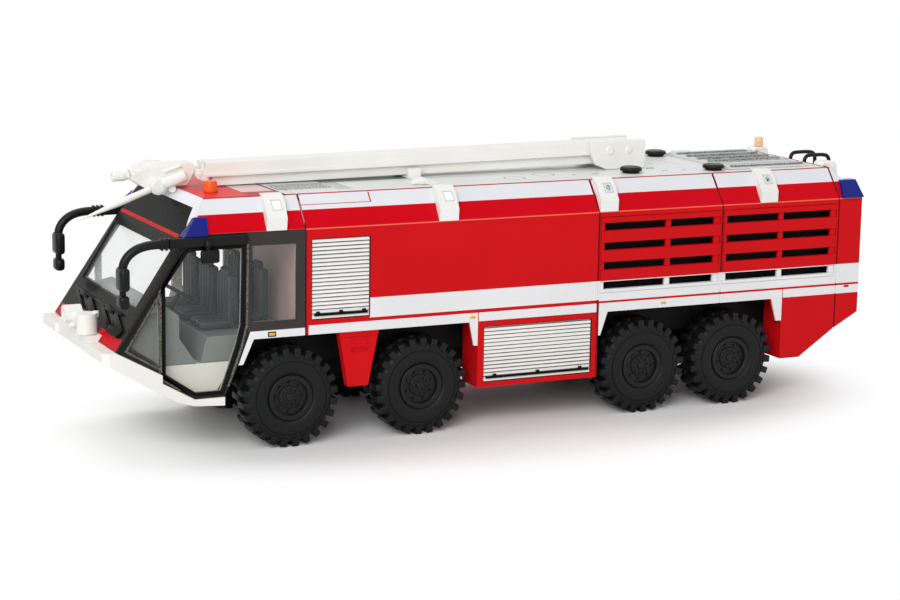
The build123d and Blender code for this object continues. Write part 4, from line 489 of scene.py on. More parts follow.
@dataclass(frozen=True)
class BodyPrint(Finish):
    """Red ABS shell with pad-printed white bands; the slope has its own red and white, painted purer and
    darker than the sides' to stand in for how light falls on it.

    Places are in millimetres: along from the first axle, out from the middle plane, up from the floor.
    """

    # The slope's own red and white: painted purer and darker than the sides' to stand in for how light falls
    # on the slope
    slope_red_painted_for_light: str = "#CB0015"
    white: str = "#E1E3E8"
    side_white: str = "#E9EAEC"
    line: str = "#B8202A"
    # Painted highlight for the crease line between side and slope
    light: str = "#F0705A"
    dark: str = "#8A161A"
    # Painted shade: near-black on the walls of the shutter and locker recesses, where shadow falls
    edge_print_and_painted_shade: str = "#2A0C0C"
    wall: str = "#E6C9BE"
    roof: str = "#E3E5E4"
    mark: str = "#1E2223"
    tread: str = "#7E827E"
    plate: str = "#C2C5C3"
    # Darker grey patch on the roof right beneath the boom
    walkway: str = "#8C918E"
    roof_seam: str = "#B9BCBC"
    face: float = 16.95
    tail: float = -106.7
    grilles_front: float = -54.5
    grilles_rear: float = -102.0
    grille_back: float = 15.6
    grille_foot: float = 20.3
    stripe_front: float = -13.2
    stripe: Pair = (20.15, 23.35)
    stripe_foot_rear: float = 19.95
    low_band: Pair = (18.12, 19.58)
    leg_foot: float = 13.9
    legs_rear: float = -91.05
    locker: Pair = (-54.4, -32.38)
    cuts: tuple[Quad, ...] = (
        (-32.5, -32.35, 18.1, 19.6),
        (-54.8, -54.35, 13.8, 20.15),
        (-91.2, -91.05, 13.8, 19.6),
        (-2.75, -2.1, 17.0, 19.9),
    )
    # Shutter and locker openings; their recess walls are painted in shade
    frames: tuple[Quad, ...] = (
        (-13.25, -3.2, 20.4, 33.35),
        (-53.5, -33.45, 7.85, 17.15),
    )
    seams: Pairs = (
        (-2.45, -1.9),
        (-54.72, -54.3),
        (-78.6, -78.2),
        (-102.28, -101.95),
    )
    slope_foot: float = 35.02
    slope_split: float = 37.68
    crease: Pair = (34.86, 35.04)
    crease_out: float = 17.1
    hatch: Quad = (-14.45, -2.3, 38.32, 39.8)
    hatch_line: Pair = (0.23, 0.1)
    hatch_out: float = 13.2
    front_wall: float = -2.32
    wall_half: float = 16.4
    wall_height: Pair = (18.0, 39.0)
    roof_at: float = 39.86
    roof_half: float = 13.02
    roof_far: float = -12.72
    roof_rear: float = -101.75
    tread_at: Quad = (-10.2, -2.0, 3.0, 8.8)
    tread_dots: Pair = (0.32, 0.62)
    plate_at: Quad = (-13.0, -10.3, 2.6, 10.6)
    grey_under_boom_at: Quad = (-26.2, -10.3, -4.0, 2.8)
    rings_at: Pairs = ((-43.2, 8.0), (-49.7, 5.9))
    ring: Pair = (1.72, 1.86)
    marks_at: tuple[Quad, ...] = (
        (-55.1, -54.6, 7.3, 7.6),
        (-59.3, -57.9, 7.6, 8.0),
        (-72.1, -70.6, 3.8, 4.7),
        (-73.0, -71.6, 7.5, 7.9),
        (-76.3, -75.6, 7.8, 8.1),
    )
    roof_seams: Pairs = ((-54.58, -54.42), (-78.48, -78.32))
    long_seam: Quad = (-78.4, -54.5, 5.3, 5.4)

    def ink(self, prints: PrintField) -> Socket:
        """Bands and lines of the body, the lower lockers and the grilles, with painted shade on the walls
        round the shutter and locker openings.
        """
        bands = self.side_bands(prints)
        colour = prints.mix(self.colour, self.side_white, bands)
        # Painted shade on the recess walls round the shutter and locker openings
        windows = prints.either(*(prints.window(*frame) for frame in self.frames))
        frames = prints.both(prints.over(Axis.OUT, self.face), windows)
        colour = prints.mix(colour, self.edge_print_and_painted_shade, frames)
        seams = prints.bands(Axis.ALONG, self.seams)
        upper = prints.over(Axis.UP, self.stripe[1])
        bare = prints.either(upper, prints.outside(bands))
        colour = prints.mix(colour, self.dark, prints.both(seams, bare))
        # Painted light: the slope takes its own red and white
        for height, tone in ((self.slope_foot, self.slope_red_painted_for_light), (self.slope_split, self.white)):
            slope = prints.both(prints.over(Axis.UP, height), prints.outside(seams))
            colour = prints.mix(colour, tone, slope)
        colour = self.lit_crease(prints, colour)
        colour = prints.mix(colour, self.line, self.hatch_outline(prints))
        wall = prints.both(
            prints.over(Axis.ALONG, self.front_wall),
            prints.under(Axis.OUT, self.wall_half),
            prints.band(Axis.UP, *self.wall_height),
        )
        colour = prints.mix(colour, self.wall, wall)
        return self.roof_ink(prints, colour)

    def side_bands(self, prints: PrintField) -> Socket:
        """White bands on the sides, the tail and the ends of the grilles' slots, with the arch legs."""
        rear = prints.under(Axis.ALONG, self.grilles_front)
        slots = prints.both(
            rear,
            prints.over(Axis.OUT, self.grille_back),
            prints.over(Axis.UP, self.grille_foot),
            prints.over(Axis.ALONG, self.grilles_rear),
        )
        faces = prints.either(prints.over(Axis.OUT, self.face), prints.under(Axis.ALONG, self.tail), slots)
        foot = prints.both(rear, prints.over(Axis.UP, self.stripe_foot_rear))
        stripe = prints.both(
            prints.under(Axis.UP, self.stripe[1]),
            prints.under(Axis.ALONG, self.stripe_front),
            prints.either(prints.over(Axis.UP, self.stripe[0]), foot),
        )
        legs = prints.both(
            prints.over(Axis.ALONG, self.legs_rear),
            prints.over(Axis.UP, self.leg_foot),
            prints.outside(prints.band(Axis.ALONG, *self.locker)),
        )
        low = prints.both(
            prints.under(Axis.UP, self.low_band[1]),
            prints.either(prints.over(Axis.UP, self.low_band[0]), legs),
        )
        cuts = prints.either(*(prints.window(*cut) for cut in self.cuts))
        return prints.both(faces, prints.either(stripe, low), prints.outside(cuts))

    def lit_crease(self, prints: PrintField, colour: Socket) -> Socket:
        """Painted highlight: a pale line where the crease between side and slope catches the light."""
        crease = prints.both(prints.band(Axis.UP, *self.crease), prints.over(Axis.OUT, self.crease_out))
        return prints.mix(colour, self.light, crease)

    def hatch_outline(self, prints: PrintField) -> Socket:
        """Thin outline of the hatch on the slope behind the cab."""
        x0, x1, z0, z1 = self.hatch
        side, foot = self.hatch_line
        zone = prints.both(prints.window(x0, x1, z0, z1), prints.over(Axis.OUT, self.hatch_out))
        inner = prints.both(prints.over(Axis.UP, z0 + foot), prints.over(Axis.ALONG, x0 + side))
        return prints.both(zone, prints.outside(inner))

    def roof_ink(self, prints: PrintField, colour: Socket) -> Socket:
        """Pale roof with its printed walkway tread and plate, a darker grey patch right beneath the boom,
        rings and marks.

        Args:
            prints: Masks of the piece.
            colour: Colour that the rest of the piece has.

        Returns:
            The colour with the roof on top.
        """
        flat = prints.over(Axis.UP, self.roof_at)
        inside = prints.under(Axis.OUT, self.roof_half)
        far = prints.under(Axis.ACROSS, self.roof_far)
        rear = prints.under(Axis.ALONG, self.roof_rear)
        edge = prints.both(flat, prints.either(prints.outside(inside), far, rear))
        colour = prints.mix(colour, self.line, edge)
        top = prints.both(flat, inside, prints.outside(far), prints.outside(rear))
        rings = (prints.reach(Axis.ALONG, Axis.OUT, place) for place in self.rings_at)
        marks = prints.either(
            *(prints.between(ring, *self.ring) for ring in rings),
            *(prints.twin(*mark) for mark in self.marks_at),
        )
        seams = prints.either(prints.bands(Axis.ALONG, self.roof_seams), prints.twin(*self.long_seam))
        tread = prints.both(prints.patch(*self.tread_at), prints.speckle(*self.tread_dots))
        inks = (
            (self.tread, tread),
            (self.plate, prints.patch(*self.plate_at)),
            (self.walkway, prints.patch(*self.grey_under_boom_at)),
            (self.mark, marks),
            (self.roof_seam, seams),
        )
        colour = prints.mix(colour, self.roof, top)
        return prints.layers(colour, tuple((tone, prints.both(top, area)) for tone, area in inks))


@dataclass(frozen=True)
class CabRoofPrint(BodyPrint):
    """The body's print carried over the cab roof, whose top is red in front and pale behind."""

    top_red: str = "#E23A3C"
    field_ink: str = "#E9DEDD"
    hatch_ink: str = "#D8A9A8"
    step_ink: str = "#1B1A1A"
    roof_front: float = 13.3
    top_half: float = 12.95
    red_top: Pair = (5.6, 13.2)
    pale_field: Pair = (0.1, 5.35)
    field_half: float = 8.9
    hatch_pitch: float = 0.42
    hatch_width: float = 0.16
    rear_top: float = -0.1
    tread_at: Quad = (-2.3, -0.75, 3.0, 8.8)
    step: Pair = (-0.45, -0.1)

    def ink(self, prints: PrintField) -> Socket:
        """Slope bands, the red roof top, its pale hatched field and the step behind it."""
        split = prints.over(Axis.UP, self.slope_split)
        # Slope red and white painted for the slope's light, with the painted crease highlight
        colour = self.lit_crease(prints, prints.mix(self.slope_red_painted_for_light, self.white, split))
        flat = prints.both(prints.over(Axis.UP, self.roof_at), prints.under(Axis.ALONG, self.roof_front))
        top = prints.both(flat, prints.under(Axis.OUT, self.top_half))
        field = prints.both(
            top, prints.band(Axis.ALONG, *self.pale_field), prints.under(Axis.OUT, self.field_half)
        )
        hatch = prints.lines(Axis.ACROSS, 0.0, self.hatch_pitch, self.hatch_width)
        rear = prints.both(top, prints.under(Axis.ALONG, self.rear_top))
        tread = prints.both(rear, prints.patch(*self.tread_at), prints.speckle(*self.tread_dots))
        inks = (
            (self.line, flat),
            (self.top_red, prints.both(top, prints.band(Axis.ALONG, *self.red_top))),
            (prints.mix(self.field_ink, self.hatch_ink, hatch), field),
            (self.roof, rear),
            (self.tread, tread),
            (self.step_ink, prints.both(flat, prints.band(Axis.ALONG, *self.step))),
        )
        return prints.layers(colour, inks)


@dataclass(frozen=True)
class CabFrontPrint(Finish):
    """Clear styrene printed anthracite, with a red line, red strips and a white brow edge."""

    forehead: str = "#0F0E0E"
    black: str = "#0E0D0D"
    shade: str = "#070707"
    red: str = "#CB0018"
    red_line: str = "#C81C1A"
    white: str = "#E8EAEE"
    forehead_foot: float = 34.82
    brow_lean: float = 0.55
    brow_line: Pair = (34.82, 35.0)
    cap: Pair = (38.5, 38.72)
    cap_half: float = 13.7
    cap_top: float = 38.74
    line: Pair = (34.28, 34.8)
    line_half: float = 14.6
    strip_top: float = 19.35
    strip: Pair = (5.9, 16.6)
    shade_at: Pair = (-7.7, 23.7)
    shade_half: float = 3.5
    shade_squeeze: float = 3.0
    shade_foot: float = 22.0

    def ink(self, prints: PrintField) -> Socket:
        """Anthracite frame, red strips low down and a thin red line below the forehead."""
        leaning = add_node(
            prints.tree,
            "ShaderNodeMath",
            {"operation": "MULTIPLY_ADD", 1: self.brow_lean},
            {0: prints.axes[Axis.UP], 2: prints.axes[Axis.OUT]},
        ).outputs[0]
        high = prints.over(Axis.UP, self.forehead_foot)
        cap = prints.both(prints.band(Axis.UP, *self.cap), prints.under(Axis.OUT, self.cap_half))
        line = prints.both(prints.band(Axis.UP, *self.line), prints.under(Axis.OUT, self.line_half))
        strip = prints.both(prints.under(Axis.UP, self.strip_top), prints.band(Axis.OUT, *self.strip))
        far = prints.reach(Axis.ACROSS, Axis.UP, self.shade_at, self.shade_squeeze)
        shade = prints.both(
            prints.outside(prints.beyond(far, self.shade_half)), prints.over(Axis.UP, self.shade_foot)
        )
        inks = (
            (self.forehead, high),
            (self.black, prints.both(high, prints.beyond(leaning, self.brow_line[0]))),
            (self.white, prints.both(high, prints.beyond(leaning, self.brow_line[1]))),
            (self.black, cap),
            (self.white, prints.over(Axis.UP, self.cap_top)),
            (self.red_line, line),
            (self.red, strip),
            (self.shade, shade),
        )
        return prints.layers(self.colour, inks)


@dataclass(frozen=True)
class CabSidePrint(Finish):
    """Clear styrene printed dark grey: black gaskets, pale speckle at its fading edge, white arch strip."""

    dots: Pair = (0.2, 0.42)
    pale: str = "#77736A"
    dusk: str = "#1D1B19"
    behind: str = "#3B3735"
    gasket: str = "#0D0D0C"
    back_pale: str = "#DAD6C8"
    back_dusk: str = "#8C897F"
    white: str = "#E8EAEC"
    quarter: Pairs = ((26.7, 17.75), (21.75, 25.5), (21.75, 14.75))
    door: Pairs = (
        (20.75, 13.6),
        (20.75, 27.1),
        (16.9, 32.55),
        (8.3, 32.55),
        (8.5, 20.4),
        (9.4, 17.0),
        (11.85, 10.3),
        (15.9, 10.3),
    )
    door_fade: Pair = (-1.1, -0.75)
    quarter_fade: Pair = (-0.42, -0.1)
    gasket_band: Pair = (-0.62, 0.3)
    door_rear: float = 7.4
    fade_foot: float = 10.9
    inner_face: float = 16.62
    outer_face: float = 16.9
    strip_top: float = 19.3
    strip_front: float = 7.0
    arch_line: tuple[Pair, Pair] = ((7.0, 19.3), (8.97, 14.1))

    def ink(self, prints: PrintField) -> Socket:
        """Grey frames, black door gasket and the white strip over the wheel."""
        dots = prints.speckle(*self.dots)
        door = prints.depth(self.door)
        fade = prints.either(
            prints.between(door, *self.door_fade),
            prints.between(prints.depth(self.quarter), *self.quarter_fade),
        )
        below = prints.under(Axis.UP, self.strip_top)
        rear = prints.both(prints.under(Axis.ALONG, self.door_rear), prints.over(Axis.UP, self.strip_top))
        over_arch = prints.either(
            prints.under(Axis.ALONG, self.strip_front),
            prints.outside(prints.beyond(prints.beside(*self.arch_line), 0.0)),
        )
        inks = (
            (self.behind, rear),
            (
                prints.mix(self.pale, self.dusk, dots),
                prints.both(fade, prints.over(Axis.UP, self.fade_foot)),
            ),
            (self.gasket, prints.between(door, *self.gasket_band)),
            (
                prints.mix(self.back_pale, self.back_dusk, dots),
                prints.under(Axis.OUT, self.inner_face),
            ),
            (self.white, prints.both(over_arch, below, prints.over(Axis.OUT, self.outer_face))),
        )
        return prints.layers(self.colour, inks)


@dataclass(frozen=True)
class ShutterPrint(Finish):
    """White printed roller shutter with a dark line under each slat."""

    low: float = 21.36
    pitch: float = 0.6265
    foot: float = 20.95
    line_width: float = 0.17
    wear: Place = (3.0, 0.5, 0.2)
    line_pale: str = "#6E6864"
    line_dark: str = "#37322F"

    def ink(self, prints: PrintField) -> Socket:
        """Dark line at the foot of each slat, darker in some stretches than in others."""
        lines = prints.lines(Axis.UP, self.low, self.pitch, self.line_width)
        worn = prints.mix(self.line_pale, self.line_dark, prints.speckle(*self.wear))
        return prints.mix(self.colour, worn, prints.both(lines, prints.over(Axis.UP, self.foot)))


@dataclass(frozen=True)
class GratingPrint(Finish):
    """Pale walkway plate printed with grey speckled bands between bare strips."""

    pale: str = "#A9ADAC"
    grey: str = "#6C7070"
    strip_pitch: float = 3.1
    strip_width: float = 0.75
    front: float = -84.1
    rear: float = -99.1
    half_width: float = 10.6
    dots: Pair = (0.3, 0.5)

    def ink(self, prints: PrintField) -> Socket:
        """Fine grey speckle with bare strips along the truck."""
        dots = prints.mix(self.pale, self.grey, prints.speckle(*self.dots))
        bare = prints.either(
            prints.lines(Axis.ACROSS, 0.0, self.strip_pitch, self.strip_width),
            prints.over(Axis.ALONG, self.front),
            prints.under(Axis.ALONG, self.rear),
            prints.over(Axis.OUT, self.half_width),
        )
        return prints.mix(dots, self.colour, bare)


@dataclass(frozen=True)
class PodPrint(Finish):
    """White pods with a small square lens printed near the top."""

    fronts: tuple[float, ...] = (3.9, -25.6, -54.95, -86.3)
    bright_pairs: int = 2
    middle: Pair = (-1.8, 38.76)
    frame_half: Pair = (0.82, 0.74)
    lens_half: Pair = (0.7, 0.62)
    core_up: float = 38.8
    core_radius: float = 0.42
    mottle: Place = (0.45, 0.5, 0.03)
    # Grey print round each lens
    edge_print_and_painted_shade: str = "#B9BBBC"
    bright: str = "#FBFBFA"
    dim: str = "#DDE0E1"
    core_pale: str = "#B9BEC1"
    core_dark: str = "#4A5157"

    def square(self, prints: PrintField, front: float, half: Pair) -> Socket:
        """Mask of a rectangle round the lens of the pod whose front is given."""
        x, z = front + self.middle[0], self.middle[1]
        return prints.window(x - half[0], x + half[0], z - half[1], z + half[1])

    def ink(self, prints: PrintField) -> Socket:
        """Bright lens with a fine grey edge, dark and mottled on the two rear pairs."""
        colour = self.colour
        for place, front in enumerate(self.fronts):
            lens = self.square(prints, front, self.lens_half)
            colour = prints.mix(colour, self.edge_print_and_painted_shade, self.square(prints, front, self.frame_half))
            if place < self.bright_pairs:
                colour = prints.mix(colour, self.bright, lens)
                continue
            far = prints.reach(Axis.ALONG, Axis.UP, (front + self.middle[0], self.core_up))
            core = prints.outside(prints.beyond(far, self.core_radius))
            dots = prints.speckle(*self.mottle)
            mottled = prints.mix(self.core_pale, self.core_dark, dots)
            colour = prints.mix(colour, self.dim, lens)
            colour = prints.mix(colour, mottled, core)
        return colour


# ABS moulded in red: silky gloss, edges catch the light
RED_SHELL = BodyPrint("Red_ABS_shell_pad_printed", "#CE1118", roughness=0.34, gloss=0.08)
RED_PLAIN = Finish("Red_ABS_moulded", "#D21119", roughness=0.36, gloss=0.08)
ROOF_SHELL = CabRoofPrint("Red_ABS_cab_roof_printed", "#CE1118", roughness=0.34, gloss=0.08)
# White styrene, slightly warm: light enters it a little, so its shades stay soft
WHITE_STYRENE = Finish("White_styrene_moulded", "#F1F0EA", gloss=0.25, subsurface=0.12)
POD_STYRENE = PodPrint("White_styrene_pods_printed", "#ECECE9", gloss=0.25)
# Black styrene, matt from a spark-eroded mould
BLACK_STYRENE = Finish("Black_styrene_moulded", "#0F0F10", roughness=0.36, gloss=0.2)
RIM_STYRENE = Finish("Black_styrene_rim", "#151716", roughness=0.42, gloss=0.22)
CHASSIS_STYRENE = Finish("Black_styrene_chassis", "#0E0E0E", roughness=0.5)
LINER = Finish("Black_liner", "#050505", roughness=0.6)
# Soft vinyl tyre: as dark as the rim but duller, with a dusty grain
TYRE_VINYL = Finish(
    "Black_soft_vinyl_tyre", "#121314", roughness=0.5, gloss=0.2, grain=0.25, grain_depth=0.008
)
# Anthracite ink printed on the clear cab body: smooth, a little glossy
FRONT_PRINT = CabFrontPrint(
    "Anthracite_print_on_clear_styrene", "#242321", roughness=0.28, gloss=0.03, grain_depth=0.0004
)
SIDE_PRINT = CabSidePrint(
    "Grey_print_on_clear_styrene", "#232221", roughness=0.3, gloss=0.12, grain_depth=0.0006
)
GASKET = Finish("Black_gasket_print", "#0A0A0A", gloss=0.08)
# Clear styrene: the interior shows almost untinted, with a soft mirror of the studio
CLEAR = ClearPane(
    "Clear_styrene_pane", "#E2E8E6", roughness=0.06, ior=1.5, gloss=0.5, veil=0.03, glare=0.32
)
# White ink on the body: even, with dark slat lines
SHUTTER_HIGH = ShutterPrint("White_printed_shutter_high", "#F2F2EF")
SHUTTER_LOW = ShutterPrint("White_printed_shutter_low", "#F0EEEA", low=8.8, pitch=0.62, foot=8.6)
# Pale ink with a grey speckle: dull, like a non-slip deck
GRATING = GratingPrint("Speckled_print_walkway", "#DCDEDC", roughness=0.5)
# Tinted styrene of lamps and beacons: glossier than the body
BLUE_STYRENE = Finish("Blue_styrene_lamp", "#101D7A", roughness=0.22, gloss=0.18)
ORANGE_STYRENE = Finish("Orange_styrene_beacon", "#EE5A0A", roughness=0.25, gloss=0.3)
RED_LENS = Finish("Red_styrene_lens", "#A0080C", roughness=0.2, gloss=0.4)
# Amber clear styrene: pale, light shines through its edge
AMBER_STYRENE = Finish(
    "Amber_clear_styrene_beacon", "#FBC795", roughness=0.15, gloss=0.5, subsurface=0.7
)
# Interior mouldings, dull beside the panes; the seats are smooth and catch upright highlights
GREY_STYRENE = Finish("Grey_styrene_dashboard", "#7A7F7C", roughness=0.45)
CREAM_STYRENE = Finish("Cream_styrene_footwell", "#E2E0D6", roughness=0.45)
SEAT_STYRENE = Finish(
    "Blue_black_styrene_seat", "#2B3138", roughness=0.35, gloss=0.3, grain_depth=0.0003
)
# Yellow ink of the side markers
YELLOW_PRINT = Finish("Yellow_marker_print", "#F0B429", roughness=0.35)


@dataclass
class Workshop:
    """Turns meshes into pieces of the part and keeps each finish's material."""

    frame: dict
    made: dict[str, bpy.types.Material] = field(default_factory=dict)
    seam: float = 0.002
    flat_turn: float = 0.5
    least_turn: float = 25.0

    def coat(self, finish: Finish) -> bpy.types.Material:
        """Material of a finish, built at its first use."""
        if finish.name not in self.made:
            self.made[finish.name] = finish.material()
        return self.made[finish.name]

    def dress(self, node: str, finish: Finish) -> None:
        """Gives a CAD node its material and leaves its mesh alone."""
        mesh = self.frame["nodes"][node].data
        mesh.materials.clear()
        mesh.materials.append(self.coat(finish))
        LOG.info("dressed %s in %s", node, finish.name)

    def piece(
        self,
        name: str,
        shape: bmesh.types.BMesh,
        finish: Finish,
        body: str,
        slot: str,
        stands_for: tuple[str, ...] = (),
        crease: float = 35.0,
    ) -> bpy.types.Object:
        """Makes a piece of the part from a bmesh.

        Args:
            name: Name of the piece.
            shape: Mesh in frame coordinates, which is freed.
            finish: Its finish.
            body: CAD body that carries it.
            slot: Slot of the record; not used.
            stands_for: CAD nodes that it replaces.
            crease: Angle in degrees beyond which an edge stays sharp.

        Returns:
            The new object.
        """
        mesh = bpy.data.meshes.new(name)
        shape.to_mesh(mesh)
        shape.free()
        for polygon in mesh.polygons:
            polygon.use_smooth = True
        mesh.set_sharp_from_angle(angle=math.radians(crease))
        mesh.materials.append(self.coat(finish))
        made = bpy.data.objects.new(name, mesh)
        bpy.context.scene.collection.objects.link(made)
        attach(made, body)
        if stands_for:
            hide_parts(*stands_for)
        LOG.info("built %s with %d faces", name, len(mesh.polygons))
        return made

    def soften(
        self, node: str, finish: Finish, body: str, slot: str, width: float = 0.08, steps: int = 2
    ) -> bpy.types.Object:
        """Replaces a CAD node by a copy whose outer edges are rounded.

        Args:
            node: CAD node.
            finish: Finish of the copy.
            body: CAD body that carries it.
            slot: Slot of the record, handed on to piece, which does not use it.
            width: Width of the rounding in millimetres.
            steps: Facets across the rounding.

        Returns:
            The copy.
        """
        shape = bmesh.new()
        shape.from_mesh(self.frame["nodes"][node].data)
        bmesh.ops.remove_doubles(shape, verts=shape.verts, dist=self.seam * MM)
        bmesh.ops.dissolve_limit(
            shape,
            angle_limit=math.radians(self.flat_turn),
            verts=shape.verts,
            edges=shape.edges,
            use_dissolve_boundaries=False,
        )
        round_edges(shape, width, steps, self.least_turn)
        made = self.piece(f"{node}_moulded", shape, finish, body, slot, (node,))
        weights = made.modifiers.new("Flat_faces", "WEIGHTED_NORMAL")
        weights.keep_sharp = True
        weights.weight = 50
        return made


def bevel(
    shape: bmesh.types.BMesh, edges: list[bmesh.types.BMEdge], width: float, steps: int
) -> list[bmesh.types.BMFace]:
    """Rounds edges.

    Args:
        shape: Mesh in metres.
        edges: Edges to round.
        width: Width of the rounding in metres.
        steps: Facets across it.

    Returns:
        The new faces.
    """
    made = bmesh.ops.bevel(
        shape,
        geom=edges,
        offset=width,
        offset_type="OFFSET",
        segments=steps,
        profile=0.5,
        affect="EDGES",
        clamp_overlap=True,
        loop_slide=False,
        material=-1,
    )
    return made["faces"]


def round_edges(shape: bmesh.types.BMesh, width: float, steps: int, least: float) -> None:
    """Rounds every edge that turns by more than an angle.

    Args:
        shape: Mesh in metres.
        width: Width of the rounding in millimetres.
        steps: Facets across it.
        least: Angle in degrees.
    """
    solid = (edge for edge in shape.edges if len(edge.link_faces) == 2)
    sharp = [edge for edge in solid if math.degrees(edge.calc_face_angle(0.0)) > least]
    bevel(shape, sharp, width * MM, steps)
    bmesh.ops.recalc_face_normals(shape, faces=shape.faces)


def spun(points: Pairs, steps: int) -> bmesh.types.BMesh:
    """Turns a profile about the wheel axis.

    Args:
        points: Profile as (radius, y) in millimetres.
        steps: Facets round the axis.

    Returns:
        The closed mesh about the origin, in metres, with its axis along Y.
    """
    shape = bmesh.new()
    verts = [shape.verts.new((radius * MM, y * MM, 0.0)) for radius, y in points]
    edges = [shape.edges.new(pair) for pair in zip(verts, verts[1:])]
    bmesh.ops.spin(
        shape,
        geom=verts + edges,
        cent=(0, 0, 0),
        axis=(0, 1, 0),
        dvec=(0, 0, 0),
        angle=math.tau,
        steps=steps,
        use_merge=True,
        use_duplicate=False,
    )
    bmesh.ops.remove_doubles(shape, verts=shape.verts, dist=0.0005 * MM)
    bmesh.ops.recalc_face_normals(shape, faces=shape.faces)
    return shape


def standing(points: Pairs, foot: Place) -> bmesh.types.BMesh:
    """Turns a profile about an upright axis.

    Args:
        points: Profile as (radius, height) in millimetres.
        foot: Middle of its foot in millimetres.

    Returns:
        The closed mesh in frame coordinates.
    """
    shape = spun(points, 48)
    upright = Matrix.Translation(spot(*foot)) @ Matrix.Rotation(math.pi / 2, 4, "X")
    bmesh.ops.transform(shape, matrix=upright, verts=shape.verts)
    return shape


def add_block(
    shape: bmesh.types.BMesh, low: Vector, high: Vector, width: float, turn: Matrix | None = None
) -> list[bmesh.types.BMVert]:
    """Adds a block with rounded edges between two corners, in metres.

    Args:
        shape: Mesh that takes the block.
        low: Lowest corner.
        high: Highest corner.
        width: Width of the rounding.
        turn: Turn applied after the block is in place.

    Returns:
        Its vertices.
    """
    place = Matrix.Translation((low + high) / 2) @ Matrix.Diagonal((*(high - low), 1.0))
    corners = bmesh.ops.create_cube(shape, size=1.0, matrix=place)["verts"]
    edges = list({edge for vert in corners for edge in vert.link_edges})
    rounded = {vert for face in bevel(shape, edges, width, 2) for vert in face.verts}
    made = list(rounded | {vert for vert in corners if vert.is_valid})
    if turn is not None:
        bmesh.ops.transform(shape, matrix=turn, verts=made)
    return made


def add_slab(
    shape: bmesh.types.BMesh, along: Pair, out: Pair, up: Pair, width: float, sign: int = 1
) -> None:
    """Adds a block with rounded edges in the truck's own millimetres.

    Args:
        shape: Mesh that takes the block.
        along: Lowest and highest x, from the first axle.
        out: Lowest and highest y on the left side.
        up: Lowest and highest z.
        width: Width of the rounding.
        sign: 1 for the left side, -1 for its mirror image on the right.
    """
    low, high = sorted((sign * out[0], sign * out[1]))
    add_block(shape, spot(along[0], low, up[0]), spot(along[1], high, up[1]), width * MM)


def add_drum(shape: bmesh.types.BMesh, start: Vector, end: Vector, radius: float, sides: int) -> None:
    """Adds a round bar between two points, in metres.

    Args:
        shape: Mesh that takes the bar.
        start: Middle of its first end.
        end: Middle of its other end.
        radius: Its radius.
        sides: Facets round it.
    """
    run = end - start
    turn = run.to_track_quat("Z", "Y").to_matrix().to_4x4()
    bmesh.ops.create_cone(
        shape,
        cap_ends=True,
        segments=sides,
        radius1=radius,
        radius2=radius,
        depth=run.length,
        matrix=Matrix.Translation((start + end) / 2) @ turn,
    )


def add_bar(
    shape: bmesh.types.BMesh, start: Vector, end: Vector, out: Vector, width: float, height: float
) -> None:
    """Adds a flat bar with rounded edges between two points, in metres.

    Args:
        shape: Mesh that takes the bar.
        start: Middle of its first end.
        end: Middle of its other end.
        out: Direction of its height.
        width: Width across its run.
        height: Height along out.
    """
    run = end - start
    along = run.normalized()
    side = out.cross(along).normalized()
    turn = Matrix((along, side, along.cross(side))).transposed().to_4x4()
    place = Matrix.Translation((start + end) / 2) @ turn
    half = Vector((run.length / 2, width / 2, height / 2))
    add_block(shape, -half, half, 0.2 * min(width, height), place)


def tube_along(points: list[Place], radius: float, sides: int, smooth: int) -> bmesh.types.BMesh:
    """Round tube along a rounded path.

    Args:
        points: Corners of the path, in millimetres.
        radius: Radius of the tube, in millimetres.
        sides: Facets round it.
        smooth: Rounds of corner cutting.

    Returns:
        The closed tube.
    """
    path = [spot(*point) for point in points]
    for _ in range(smooth):
        cut = [path[0]]
        for a, b in zip(path, path[1:]):
            cut += [a.lerp(b, 0.25), a.lerp(b, 0.75)]
        path = cut + [path[-1]]
    shape = bmesh.new()
    rings = []
    side = None
    for place, point in enumerate(path):
        ahead = path[min(place + 1, len(path) - 1)] - path[max(place - 1, 0)]
        ahead.normalize()
        if side is None:
            side = ahead.orthogonal().normalized()
        side = (side - ahead * side.dot(ahead)).normalized()
        other = ahead.cross(side)
        ring = []
        for step in range(sides):
            angle = math.tau * step / sides
            out = side * math.cos(angle) + other * math.sin(angle)
            ring.append(shape.verts.new(point + out * (radius * MM)))
        rings.append(ring)
    loops = [[shape.edges.new((r[i], r[(i + 1) % sides])) for i in range(sides)] for r in rings]
    for first, second in zip(loops, loops[1:]):
        bmesh.ops.bridge_loops(shape, edges=first + second)
    for ring in (rings[0], rings[-1]):
        shape.faces.new(ring)
    bmesh.ops.recalc_face_normals(shape, faces=shape.faces)
    return shape


def join(target: bmesh.types.BMesh, other: bmesh.types.BMesh, matrix: Matrix | None = None) -> None:
    """Adds a copy of another mesh to a mesh and frees the other.

    Args:
        target: Mesh that takes the copy.
        other: Mesh that is copied.
        matrix: Place of the copy.
    """
    if matrix is not None:
        bmesh.ops.transform(other, matrix=matrix, verts=other.verts)
    spare = bpy.data.meshes.new("spare")
    other.to_mesh(spare)
    other.free()
    target.from_mesh(spare)
    bpy.data.meshes.remove(spare)


